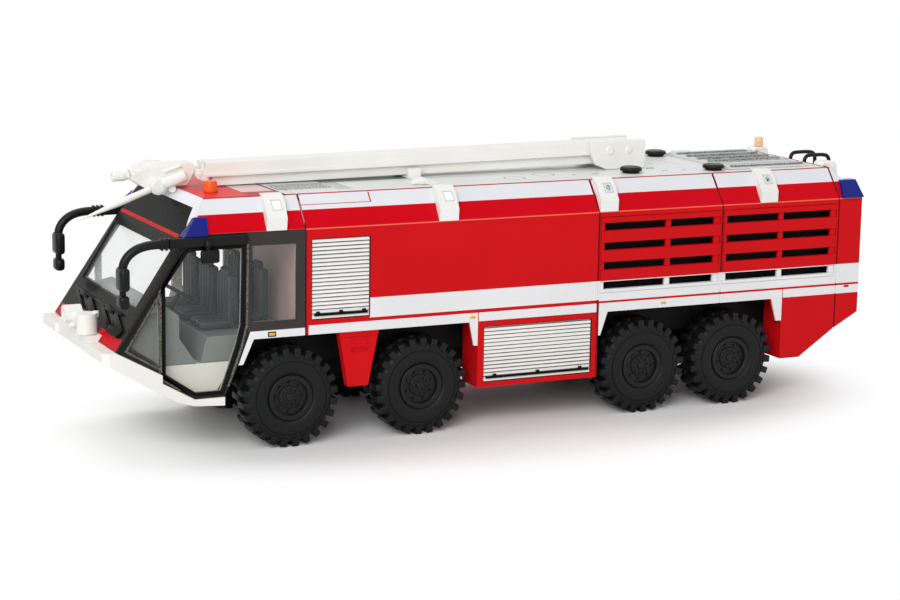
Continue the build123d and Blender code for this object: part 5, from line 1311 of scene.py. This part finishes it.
@dataclass
class Studio:
    """Camera at the photograph's angle, pale floor and soft light."""

    eye: Place = (127.643, 344.790, 91.397)
    yaw: float = 25.312
    pitch: float = 10.839
    roll: float = 0.887
    lens: float = 91.28
    room: float = 0.44
    table: Colour = (0.82, 0.82, 0.81, 1.0)
    table_half: float = 6.0
    shadow_half: Pair = (0.085, 0.046)
    shadow_shift: float = -0.07
    shadow_fade: Pair = (0.62, 0.97)
    key: tuple[Place, float, float] = ((0.56, 0.72, 0.5), 0.6, 6.7)
    overhead: tuple[Place, float, float] = ((0.1, -0.35, 0.95), 0.5, 2.8)
    aim: Place = (0.0, 0.0, 0.02)

    def camera(self) -> None:
        """Sets the camera."""
        yaw, pitch, roll = (math.radians(a) for a in (self.yaw, self.pitch, self.roll))
        ahead = Vector(
            (-math.sin(yaw) * math.cos(pitch), -math.cos(yaw) * math.cos(pitch), -math.sin(pitch))
        )
        right = ahead.cross(Vector((0, 0, 1))).normalized()
        top = right.cross(ahead)
        across = right * math.cos(roll) + top * math.sin(roll)
        up = top * math.cos(roll) - right * math.sin(roll)
        turn = Matrix((across, up, -ahead)).transposed().to_4x4()
        data = bpy.data.cameras.new("Camera")
        data.sensor_fit = "HORIZONTAL"
        data.sensor_width = 36.0
        data.lens = self.lens
        data.clip_start = 0.01
        data.clip_end = 20.0
        camera = bpy.data.objects.new("Camera", data)
        camera.matrix_world = Matrix.Translation(spot(*self.eye)) @ turn
        bpy.context.scene.collection.objects.link(camera)
        bpy.context.scene.camera = camera

    def seen(self, tree: Tree) -> Socket:
        """Share of a ray that comes from the camera, from gloss or through a clear pane."""
        path = add_node(tree, "ShaderNodeLightPath")
        share = path.outputs["Is Camera Ray"]
        for other in ("Is Transmission Ray", "Is Glossy Ray"):
            links = {0: share, 1: path.outputs[other]}
            share = add_node(tree, "ShaderNodeMath", {"operation": "MAXIMUM"}, links).outputs[0]
        return share

    def world(self) -> None:
        """Gives soft light all round, and white to what the camera, gloss and clear panes see."""
        world = bpy.data.worlds.new("Soft_room")
        bpy.context.scene.world = world
        world.use_nodes = True
        tree = world.node_tree
        tree.nodes.clear()
        room = add_node(tree, "ShaderNodeBackground", {"Color": (1, 1, 1, 1), "Strength": self.room})
        white = add_node(tree, "ShaderNodeBackground", {"Color": (1, 1, 1, 1), "Strength": 1.0})
        links = {0: self.seen(tree), 1: room.outputs[0], 2: white.outputs[0]}
        mixed = add_node(tree, "ShaderNodeMixShader", links=links)
        add_node(tree, "ShaderNodeOutputWorld", links={"Surface": mixed.outputs[0]})

    def table_material(self) -> bpy.types.Material:
        """Matt white: it keeps the soft shadow near the truck and is plain white further out."""
        material = bpy.data.materials.new("Matt_white_table")
        material.use_nodes = True
        tree = material.node_tree
        tree.nodes.clear()
        coordinates = add_node(tree, "ShaderNodeTexCoord")
        half_x, half_y = self.shadow_half
        settings = {"Location": (0.0, self.shadow_shift, 0.0), "Scale": (1 / half_x, 1 / half_y, 1.0)}
        oval = add_node(tree, "ShaderNodeMapping", settings, {"Vector": coordinates.outputs["Object"]})
        away = add_node(tree, "ShaderNodeVectorMath", {"operation": "LENGTH"}, {0: oval.outputs[0]})
        near, edge = self.shadow_fade
        settings = {"From Min": near, "From Max": edge, "interpolation_type": "SMOOTHSTEP"}
        far = add_node(tree, "ShaderNodeMapRange", settings, {"Value": away.outputs["Value"]})
        matt = add_node(tree, "ShaderNodeBsdfDiffuse", {"Color": self.table})
        shaded = add_node(tree, "ShaderNodeBsdfDiffuse", {"Color": (1, 1, 1, 1)})
        glow = add_node(tree, "ShaderNodeEmission", {"Color": (1, 1, 1, 1), "Strength": 1.0})
        links = {0: far.outputs[0], 1: shaded.outputs[0], 2: glow.outputs[0]}
        eye = add_node(tree, "ShaderNodeMixShader", links=links)
        links = {0: self.seen(tree), 1: matt.outputs[0], 2: eye.outputs[0]}
        both = add_node(tree, "ShaderNodeMixShader", links=links)
        add_node(tree, "ShaderNodeOutputMaterial", links={"Surface": both.outputs[0]})
        return material

    def floor(self) -> None:
        """Lays the table."""
        shape = bmesh.new()
        bmesh.ops.create_grid(shape, x_segments=1, y_segments=1, size=self.table_half)
        mesh = bpy.data.meshes.new("Floor")
        shape.to_mesh(mesh)
        shape.free()
        mesh.materials.append(self.table_material())
        floor = bpy.data.objects.new("Floor", mesh)
        bpy.context.scene.collection.objects.link(floor)

    def lamp(self, name: str, place: Place, size: float, power: float) -> None:
        """Adds a square soft light aimed at the middle of the truck.

        Args:
            name: Name of the light.
            place: Place in metres.
            size: Edge length in metres.
            power: Power in watts.
        """
        data = bpy.data.lights.new(name, "AREA")
        data.shape = "SQUARE"
        data.size = size
        data.energy = power
        lamp = bpy.data.objects.new(name, data)
        lamp.location = place
        ray = Vector(self.aim) - Vector(place)
        lamp.rotation_euler = ray.to_track_quat("-Z", "Y").to_euler()
        bpy.context.scene.collection.objects.link(lamp)

    def build(self) -> None:
        """Sets up the whole studio."""
        bpy.context.scene.view_settings.view_transform = "Standard"
        self.camera()
        self.world()
        self.floor()
        self.lamp("Softbox_front_left", *self.key)
        self.lamp("Softbox_overhead", *self.overhead)


@dataclass
class Wheels:
    """Eight lugged tyres with their dished rims.

    Each outline is a list of radius and offset from the tyre's inner side, from its face or
    from the bottom of the rim's dish.
    """

    shop: Workshop
    axles: tuple[float, ...] = (0.0, -22.6, -63.8, -81.4)
    turn_per_axle: float = 0.37
    radius: float = 8.0
    face: float = 16.9
    width: float = 5.6
    inner_wall: Pairs = (
        (3.67, 0.3),
        (4.0, 0.12),
        (5.0, 0.02),
        (6.3, 0.02),
        (6.95, 0.25),
        (7.28, 0.8),
        (7.34, 2.8),
    )
    outer_wall: Pairs = (
        (7.28, -0.75),
        (6.95, -0.3),
        (6.55, -0.1),
        (6.05, -0.05),
        (6.0, -0.16),
        (5.88, -0.16),
        (5.83, -0.04),
        (4.9, -0.04),
        (4.2, -0.12),
        (3.9, -0.25),
        (3.78, -0.42),
        (3.67, -0.45),
    )
    lugs: int = 24
    lug_share: float = 0.52
    lug_foot: float = 7.05
    lug_round: float = 0.09
    rows_overlap: float = 0.25
    shoulder: float = 0.35
    shoulder_foot: float = 6.6
    shoulder_lean: float = 0.18
    rim_inset: float = 0.15
    rim_back_inset: float = 0.4
    dish_depth: float = 0.8
    rim_back: Pairs = ((0.0, 0.0), (3.6, 0.0), (3.64, 0.05))
    rim_ring: Pairs = ((3.64, -0.08), (3.56, 0.0), (2.98, 0.0), (2.9, -0.08))
    rim_dish: Pairs = (
        (2.84, 0.05),
        (1.85, 0.0),
        (1.78, 0.22),
        (1.7, 0.27),
        (1.0, 0.27),
        (0.95, 0.2),
        (0.62, 0.2),
        (0.58, 0.42),
        (0.5, 0.48),
        (0.0, 0.48),
    )
    bolt_rings: tuple[tuple[int, float, float, float], ...] = ((8, 2.3, 0.27, 0.3), (10, 1.36, 0.2, 0.52))
    bolt_foot: float = -0.05

    def tyre(self) -> bmesh.types.BMesh:
        """Left tyre about the origin: carcass with its ring, and two staggered rows of lugs."""
        face, inner = self.face, self.face - self.width
        points = [(radius, inner + out) for radius, out in self.inner_wall]
        points += [(radius, face + out) for radius, out in self.outer_wall]
        shape = spun([*points, points[0]], 96)
        middle = (face + inner) / 2
        rows = ((0.0, middle - self.rows_overlap, face, 1), (0.5, inner, middle + self.rows_overlap, -1))
        for lug in range(self.lugs):
            for phase, low, high, sign in rows:
                self.lug(shape, (lug + phase) * (math.tau / self.lugs), low, high, sign)
        bmesh.ops.recalc_face_normals(shape, faces=shape.faces)
        return shape

    def lug(self, shape: bmesh.types.BMesh, angle: float, low: float, high: float, sign: int) -> None:
        """Adds a lug that leans over the shoulder.

        Args:
            shape: Tyre mesh.
            angle: Place round the tyre.
            low: Lowest y in millimetres.
            high: Highest y in millimetres.
            sign: 1 for the outer row, -1 for the inner.
        """
        half = self.radius * math.tan(math.pi / self.lugs) * self.lug_share
        corners = (-half * MM, low * MM, self.lug_foot * MM), (half * MM, high * MM, self.radius * MM)
        made = add_block(shape, *(Vector(corner) for corner in corners), self.lug_round * MM)
        edge = high if sign > 0 else low
        middle = (self.lug_foot + self.radius) / 2
        for vert in made:
            if abs(vert.co.y / MM - edge) >= self.shoulder:
                continue
            if vert.co.z < middle * MM:
                vert.co.z = self.shoulder_foot * MM
            else:
                vert.co.y -= sign * self.shoulder_lean * MM
        bmesh.ops.transform(shape, matrix=Matrix.Rotation(angle, 4, "Y"), verts=made)

    def rim(self) -> bmesh.types.BMesh:
        """Left rim about the origin: outer ring, dish, bolts and hub."""
        face = self.face - self.rim_inset
        back, dish = self.face - self.width + self.rim_back_inset, face - self.dish_depth
        levels = ((back, self.rim_back), (face, self.rim_ring), (dish, self.rim_dish))
        shape = spun([(radius, level + out) for level, points in levels for radius, out in points], 64)
        for count, ring, radius, height in self.bolt_rings:
            for step in range(count):
                angle = math.tau * (step + 0.5) / count
                x, z = ring * math.cos(angle) * MM, ring * math.sin(angle) * MM
                foot = Vector((x, (dish + self.bolt_foot) * MM, z))
                add_drum(shape, foot, Vector((x, (dish + height) * MM, z)), radius * MM, 10)
        bmesh.ops.recalc_face_normals(shape, faces=shape.faces)
        return shape

    def build(self) -> None:
        """Places all tyres and rims and dresses the rods."""
        mirror = Matrix.Scale(-1, 4, (0, 1, 0))
        for number, x in enumerate(self.axles, 1):
            body = f"wheelset_{number}"
            place = Matrix.Translation(spot(x, 0, self.radius))
            spin = Matrix.Rotation(self.turn_per_axle * number, 4, "Y")
            rims = bmesh.new()
            for side, turn in (("left", place @ spin), ("right", place @ mirror @ spin)):
                tyre = self.tyre()
                bmesh.ops.transform(tyre, matrix=turn, verts=tyre.verts)
                bmesh.ops.recalc_face_normals(tyre, faces=tyre.faces)
                node = f"tyre_{number}_{side}"
                self.shop.piece(f"{node}_lugged", tyre, TYRE_VINYL, body, "tyre", (node,))
                join(rims, self.rim(), turn)
            bmesh.ops.recalc_face_normals(rims, faces=rims.faces)
            self.shop.piece(f"rims_{number}_dished", rims, RIM_STYRENE, body, "black", (f"rims_{number}",))
            self.shop.dress(f"axle_{number}", CHASSIS_STYRENE)


@dataclass
class Superstructure:
    """Body shell with its lockers, shutters, grilles and markers."""

    shop: Workshop
    half_width: float = 17.25
    yellow_at: Pairs = ((3.4, 18.65), (-31.4, 18.85), (-67.2, 18.85))
    yellow_half: Pair = (0.5, 0.22)
    yellow_proud: float = 0.07
    frame_half: Pair = (0.68, 0.4)
    frame_proud: float = 0.04
    tail_proud: float = 0.05
    tail_marker: tuple[Pair, Pair] = ((-104.85, -103.85), (19.15, 19.52))
    step_at: float = -14.6
    step_face: float = 17.4
    step_sunk: float = 0.06
    lip_proud: float = 0.02
    bar_proud: float = 0.1
    step_lip: tuple[Pair, Pair] = ((0.0, 6.4), (17.28, 17.62))
    step_bars: tuple[tuple[Pair, Pair], ...] = (
        ((2.0, 2.22), (14.9, 16.9)),
        ((4.3, 4.52), (14.9, 16.9)),
        ((2.0, 4.52), (16.7, 16.92)),
        ((2.0, 4.52), (14.9, 15.12)),
        ((2.7, 3.8), (16.1, 16.3)),
        ((2.7, 3.8), (15.5, 15.7)),
    )

    def build(self) -> None:
        """Dresses the body."""
        shop = self.shop
        for node in ("body_shell", "grilles", "lockers"):
            shop.soften(node, RED_SHELL, "truck", "red", 0.08)
        shop.soften("step_boxes", RED_PLAIN, "truck", "red", 0.12)
        shop.dress("grille_liners", LINER)
        shop.dress("shutters_high", SHUTTER_HIGH)
        shop.dress("shutters_low", SHUTTER_LOW)
        shop.soften("shutter_handles", GASKET, "truck", "black", 0.05)
        shop.dress("chassis", CHASSIS_STYRENE)
        shop.soften("tail_lamps", RED_LENS, "truck", "red_lens", 0.1)
        self.step_plates()
        self.markers()

    def step_plates(self) -> None:
        """Raised square with two short bars on each step box, under its top lip."""
        shape = bmesh.new()
        start, face = self.step_at, self.step_face
        lip, *bars = (
            ((start + along[0], start + along[1]), up) for along, up in (self.step_lip, *self.step_bars)
        )
        for sign in (1, -1):
            add_slab(shape, lip[0], (face - self.step_sunk, face + self.lip_proud), lip[1], 0.03, sign)
            for along, up in bars:
                add_slab(shape, along, (face - self.step_sunk, face + self.bar_proud), up, 0.04, sign)
        self.shop.piece("step_box_plates", shape, RED_PLAIN, "truck", "red")

    def markers(self) -> None:
        """Yellow side markers, the front pair framed in black, and the small red ones at the tail."""
        yellow, black, red = bmesh.new(), bmesh.new(), bmesh.new()
        face = self.half_width
        sites = [(yellow, x, z, self.yellow_half, self.yellow_proud, 0.02) for x, z in self.yellow_at]
        sites.append((black, *self.yellow_at[0], self.frame_half, self.frame_proud, 0.01))
        for sign in (1, -1):
            for shape, x, z, (long, high), proud, width in sites:
                along, up = (x - long, x + long), (z - high, z + high)
                add_slab(shape, along, (face, face + proud), up, width, sign)
            along, up = self.tail_marker
            add_slab(red, along, (face, face + self.tail_proud), up, 0.02, sign)
        self.shop.piece("side_markers", yellow, YELLOW_PRINT, "truck", "orange")
        self.shop.piece("side_marker_frames", black, GASKET, "truck", "black")
        self.shop.piece("tail_markers", red, RED_PLAIN, "truck", "red")


@dataclass
class Cab:
    """Hollow glazed cab with its frames, panes, wipers and interior.

    A wiper bar runs between two points, each an offset from the pivot and a height, and has a
    width and a thickness.
    """

    shop: Workshop
    screen_foot: Pair = (28.6, 17.6)
    screen_lean: float = 0.64
    screen_out: Pair = (0.842, 0.539)
    wiper_pivots: tuple[float, ...] = (11.8, -2.2)
    wiper_bars: tuple[tuple[Pair, Pair, float, float], ...] = (
        ((-1.6, 19.6), (-10.6, 22.0), 0.68, 0.24),
        ((0.6, 19.9), (-5.6, 21.9), 0.68, 0.24),
        ((-15.0, 22.15), (-0.2, 22.15), 0.42, 0.34),
        ((-8.4, 22.05), (-4.6, 21.9), 0.95, 0.36),
        ((-3.2, 21.75), (3.4, 20.0), 1.25, 0.3),
        ((-2.6, 19.7), (3.0, 19.7), 1.2, 0.36),
    )
    wiper_rise: float = 0.22
    blade_end: float = -14.0
    seats_at: Pairs = ((8.2, 8.6), (8.2, 0.0), (8.2, -8.6), (1.6, 5.0), (1.6, -5.0))
    seat_pan: float = 18.6
    seat_top: float = 28.35
    seat_width: float = 5.2
    seat_ribs: int = 4
    back_plate: Pair = (-1.4, -0.4)
    plate_inset: float = 0.2
    plate_drop: float = 1.2
    back_ribs: Pair = (-1.05, 0.42)
    rib_drop: float = 0.05
    outer_rib_drop: float = 0.9
    cushion: Pair = (-0.4, 4.95)
    cushion_height: float = 1.58

    def on_screen(self, y: float, z: float) -> Vector:
        """Point just over the slanted front plane, at a height in millimetres."""
        x = self.screen_foot[0] - self.screen_lean * (z - self.screen_foot[1])
        return spot(x + self.screen_out[0] * self.wiper_rise, y, z + self.screen_out[1] * self.wiper_rise)

    def wipers(self) -> None:
        """Two wipers: a long blade under the pane, held by two angled arms from a pivot block."""
        shape = bmesh.new()
        out = Vector((self.screen_out[0], 0, self.screen_out[1]))
        for pivot in self.wiper_pivots:
            for *ends, width, height in self.wiper_bars:
                start, end = (self.on_screen(max(pivot + y, self.blade_end), z) for y, z in ends)
                add_bar(shape, start, end, out, width * MM, height * MM)
        self.shop.piece("wipers_jointed", shape, GASKET, "truck", "black", ("wipers",))

    def seats(self) -> None:
        """Seats whose backs are upright padded ribs, each on a padded cushion."""
        shape = bmesh.new()
        half, pitch = self.seat_width / 2, self.seat_width / self.seat_ribs
        pan, top = self.seat_pan, self.seat_top

        for x, y in self.seats_at:
            plate, ribs, cushion = (
                (x + start, x + end) for start, end in (self.back_plate, self.back_ribs, self.cushion)
            )
            across = (y - half + self.plate_inset, y + half - self.plate_inset)
            add_slab(shape, plate, across, (pan + 0.05, top - self.plate_drop), 0.4)
            for rib in range(self.seat_ribs):
                low = y - half + rib * pitch
                drop = self.outer_rib_drop if rib in (0, self.seat_ribs - 1) else self.rib_drop
                add_slab(shape, ribs, (low + 0.02, low + pitch - 0.02), (pan + 0.6, top - drop), 0.55)
                up = (pan + 0.1, pan + self.cushion_height)
                add_slab(shape, cushion, (low + 0.03, low + pitch - 0.03), up, 0.5)
        self.shop.piece("seats_ribbed", shape, SEAT_STYRENE, "truck", "grey", ("seats",), 60.0)

    def build(self) -> None:
        """Dresses the cab."""
        shop = self.shop
        shop.soften("cab_front", FRONT_PRINT, "truck", "black", 0.08)
        for side in ("left", "right"):
            shop.soften(f"cab_side_{side}", SIDE_PRINT, "truck", "black", 0.05)
            shop.dress(f"side_glass_{side}", CLEAR)
        shop.soften("cab_roof", ROOF_SHELL, "truck", "white", 0.08)
        shop.dress("windscreen_glass", CLEAR)
        shop.soften("cab_floor", CREAM_STYRENE, "truck", "cream", 0.15)
        shop.soften("dashboard", GREY_STYRENE, "truck", "grey", 0.15)
        shop.soften("steering_wheel", BLACK_STYRENE, "truck", "black", 0.08)
        self.seats()
        self.wipers()


@dataclass
class RoofFittings:
    """Vents, walkway, lamp pods, lamps, beacons and ladder."""

    shop: Workshop
    roof: float = 40.05
    vents_at: Pairs = ((-65.15, 8.5), (-80.7, 9.9))
    vent: Pairs = (
        (0.0, 0.02),
        (1.45, 0.02),
        (1.48, 0.2),
        (1.6, 0.26),
        (1.84, 0.34),
        (1.9, 0.5),
        (1.9, 0.66),
        (1.84, 0.82),
        (1.68, 0.96),
        (1.45, 1.03),
        (1.3, 1.04),
        (1.16, 0.98),
        (0.6, 1.0),
        (0.0, 1.01),
    )
    beacons_at: Pair = (9.9, 7.1)
    beacon: Pairs = (
        (0.0, 0.0),
        (1.12, 0.0),
        (1.15, 0.06),
        (1.13, 0.4),
        (1.04, 1.5),
        (0.98, 1.66),
        (0.84, 1.76),
        (0.0, 1.79),
    )
    rear_beacon_at: Place = (-103.3, -11.0, 40.85)
    rear_beacon_scale: Pair = (0.72, 0.97)
    rails_at: Pair = (1.5, 5.9)
    rail_tube: float = 0.34
    hoop_front: float = -102.1
    hoop_rear: float = -107.35
    hoop_top: float = 41.2
    rail_low: float = 17.4
    rungs: int = 6
    rung_low: float = 18.2
    rung_pitch: float = 2.933
    rung_tube: float = 0.21

    def vents(self) -> None:
        """Round mushroom vents with a shallow ring in the cap."""
        shape = bmesh.new()
        for x, y in self.vents_at:
            for sign in (1, -1):
                join(shape, standing(self.vent, (x, sign * y, self.roof)))
        bmesh.ops.recalc_face_normals(shape, faces=shape.faces)
        self.shop.piece("roof_vents_domed", shape, BLACK_STYRENE, "truck", "black", ("roof_vents",), 50.0)

    def ladder(self) -> None:
        """Black tube ladder over the rear roof edge."""
        shape = bmesh.new()
        front, rear, top, low = self.hoop_front, self.hoop_rear, self.hoop_top, self.rail_low
        path = (
            (front, self.roof),
            (front - 0.05, top - 0.7),
            (front - 0.35, top - 0.2),
            (front - 0.95, top),
            (rear + 1.5, top),
            (rear + 0.5, top - 0.2),
            (rear + 0.08, top - 0.7),
            (rear, top - 1.5),
            (rear, low + 0.5),
            (rear + 0.05, low),
            (rear + 0.45, low),
        )
        for y in self.rails_at:
            join(shape, tube_along([(x, y, z) for x, z in path], self.rail_tube, 16, 2))
        for rung in range(self.rungs):
            z = self.rung_low + rung * self.rung_pitch
            start, end = (spot(rear, y, z) for y in self.rails_at)
            add_drum(shape, start, end, self.rung_tube * MM, 14)
        self.shop.piece("rear_ladder_tubes", shape, BLACK_STYRENE, "truck", "black", ("rear_ladder",))

    def beacons(self) -> None:
        """Orange beacons over the cab and the clear amber one at the rear."""
        front = bmesh.new()
        x, y = self.beacons_at
        for sign in (1, -1):
            join(front, standing(self.beacon, (x, sign * y, self.roof)))
        bmesh.ops.recalc_face_normals(front, faces=front.faces)
        self.shop.piece("beacons_front_round", front, ORANGE_STYRENE, "truck", "orange", ("beacons_front",))
        wide, high = self.rear_beacon_scale
        rear = standing([(radius * wide, z * high) for radius, z in self.beacon], self.rear_beacon_at)
        bmesh.ops.recalc_face_normals(rear, faces=rear.faces)
        self.shop.piece("beacon_rear_round", rear, AMBER_STYRENE, "truck", "orange", ("beacon_rear",))

    def build(self) -> None:
        """Dresses the roof."""
        shop = self.shop
        self.vents()
        self.ladder()
        self.beacons()
        shop.dress("roof_grating", GRATING)
        shop.soften("lamp_pods", POD_STYRENE, "truck", "white", 0.3, 3)
        shop.soften("corner_lamps_front", BLUE_STYRENE, "truck", "blue", 0.12)
        shop.soften("corner_lamps_rear", BLUE_STYRENE, "truck", "blue", 0.12)
        shop.soften("rear_pods", WHITE_STYRENE, "truck", "white", 0.25, 3)


@dataclass
class Boom:
    """White boom on its pedestal, with cradle, head, nozzle and lance."""

    shop: Workshop

    def build(self) -> None:
        """Dresses the boom."""
        shop = self.shop
        shop.soften("boom_pedestal", WHITE_STYRENE, "truck", "white", 0.12, 3)
        shop.soften("boom_cradle", WHITE_STYRENE, "truck", "white", 0.1)
        shop.soften("boom_arm", WHITE_STYRENE, "boom", "white", 0.15, 3)
        shop.soften("boom_head", WHITE_STYRENE, "boom_tip", "white", 0.15, 3)
        shop.soften("head_nozzle", WHITE_STYRENE, "boom_tip", "white", 0.08)
        shop.soften("piercing_lance", WHITE_STYRENE, "boom_tip", "white", 0.06)


@dataclass
class FrontEnd:
    """Bumper with its monitor, and the mirrors. A head is its height, length, width and thickness."""

    shop: Workshop
    beam: Pair = (7.5, 21.4)
    beam_out: Pair = (17.3, 18.05)
    beam_half: float = 0.72
    arm_height: float = 34.0
    arm: tuple[Place, ...] = (
        (20.6, 17.95, 0.0),
        (22.3, 17.95, 0.04),
        (24.0, 17.93, -0.1),
        (25.4, 17.9, -0.5),
        (26.6, 17.85, -1.3),
        (27.35, 17.8, -2.3),
        (27.68, 17.75, -3.5),
        (27.6, 17.75, -8.4),
    )
    tube: float = 0.7
    thin_below: float = 30.5
    thin_share: float = 0.72
    thin_middle: Pair = (27.65, 17.75)
    ribs_at: tuple[float, ...] = (20.15, 20.85, 21.55)
    rib_out: Pair = (17.3, 18.6)
    rib_half: Pair = (0.19, 0.93)
    heads: tuple[Quad, ...] = ((29.0, 1.6, 3.1, 3.6), (25.5, 1.6, 2.5, 2.1))
    heads_at: Pair = (27.6, 17.75)
    kerb_head: tuple[Pair, Pair, Pair] = ((12.25, 15.35), (17.62, 18.38), (30.65, 32.75))
    kerb_stalk: tuple[Place, ...] = ((14.2, 17.9, 33.3), (14.2, 18.0, 32.9), (14.0, 18.0, 32.4))
    kerb_tube: float = 0.34
    kerb_ball: Place = (14.2, 18.05, 33.6)
    kerb_ball_radius: float = 0.62

    def arm_shape(self) -> bmesh.types.BMesh:
        """Left mirror arm: thinner where it hangs, with its beam, ribs and heads."""
        level = self.arm_height
        shape = tube_along([(x, y, level + z) for x, y, z in self.arm], self.tube, 20, 3)
        for vert in shape.verts:
            if vert.co.z < self.thin_below * MM:
                middle = spot(*self.thin_middle, 0.0)
                middle.z = vert.co.z
                vert.co = middle + (vert.co - middle) * self.thin_share
        add_slab(shape, self.beam, self.beam_out, (level - self.beam_half, level + self.beam_half), 0.14)
        half_x, half_z = self.rib_half
        for x in self.ribs_at:
            add_slab(shape, (x - half_x, x + half_x), self.rib_out, (level - half_z, level + half_z), 0.16)
        x, y = self.heads_at
        for z, length, width, height in self.heads:
            along, up = (x - length / 2, x + length / 2), (z - height / 2, z + height / 2)
            add_slab(shape, along, (y - width / 2, y + width / 2), up, 0.55)
        return shape

    def mirrors(self) -> None:
        """Curved mirror arms with their ribs and capsule-shaped heads."""
        for side, sign in (("left", 1), ("right", -1)):
            shape = self.arm_shape()
            bmesh.ops.transform(shape, matrix=Matrix.Diagonal((1, sign, 1, 1)), verts=shape.verts)
            bmesh.ops.recalc_face_normals(shape, faces=shape.faces)
            node = f"mirror_{side}"
            self.shop.piece(f"{node}_curved", shape, BLACK_STYRENE, "truck", "black", (node,), 50.0)

    def kerb_mirrors(self) -> None:
        """Rounded kerb mirrors, each on a short bent stalk below the mirror beam."""
        shape = bmesh.new()
        for sign in (1, -1):
            add_slab(shape, *self.kerb_head, 0.36, sign)
            join(shape, tube_along([(x, sign * y, z) for x, y, z in self.kerb_stalk], self.kerb_tube, 14, 2))
            ball = bmesh.new()
            radius = self.kerb_ball_radius * MM
            bmesh.ops.create_uvsphere(ball, u_segments=24, v_segments=14, radius=radius)
            x, y, z = self.kerb_ball
            join(shape, ball, Matrix.Translation(spot(x, sign * y, z)))
        bmesh.ops.recalc_face_normals(shape, faces=shape.faces)
        self.shop.piece("kerb_mirrors_round", shape, BLACK_STYRENE, "truck", "black", ("kerb_mirrors",), 50.0)

    def build(self) -> None:
        """Dresses bumper, monitor and mirrors."""
        self.shop.soften("front_bumper", WHITE_STYRENE, "truck", "white", 0.15, 3)
        self.shop.soften("bumper_monitor", WHITE_STYRENE, "monitor", "white", 0.2, 3)
        self.mirrors()
        self.kerb_mirrors()


def main() -> None:
    """Builds the whole model and its studio."""
    logging.basicConfig(level=logging.INFO, format="%(message)s")
    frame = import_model()
    Studio().build()
    shop = Workshop(frame)
    for assembly in (Superstructure, Cab, RoofFittings, Boom, FrontEnd, Wheels):
        assembly(shop).build()


if __name__ == "__main__":
    main()
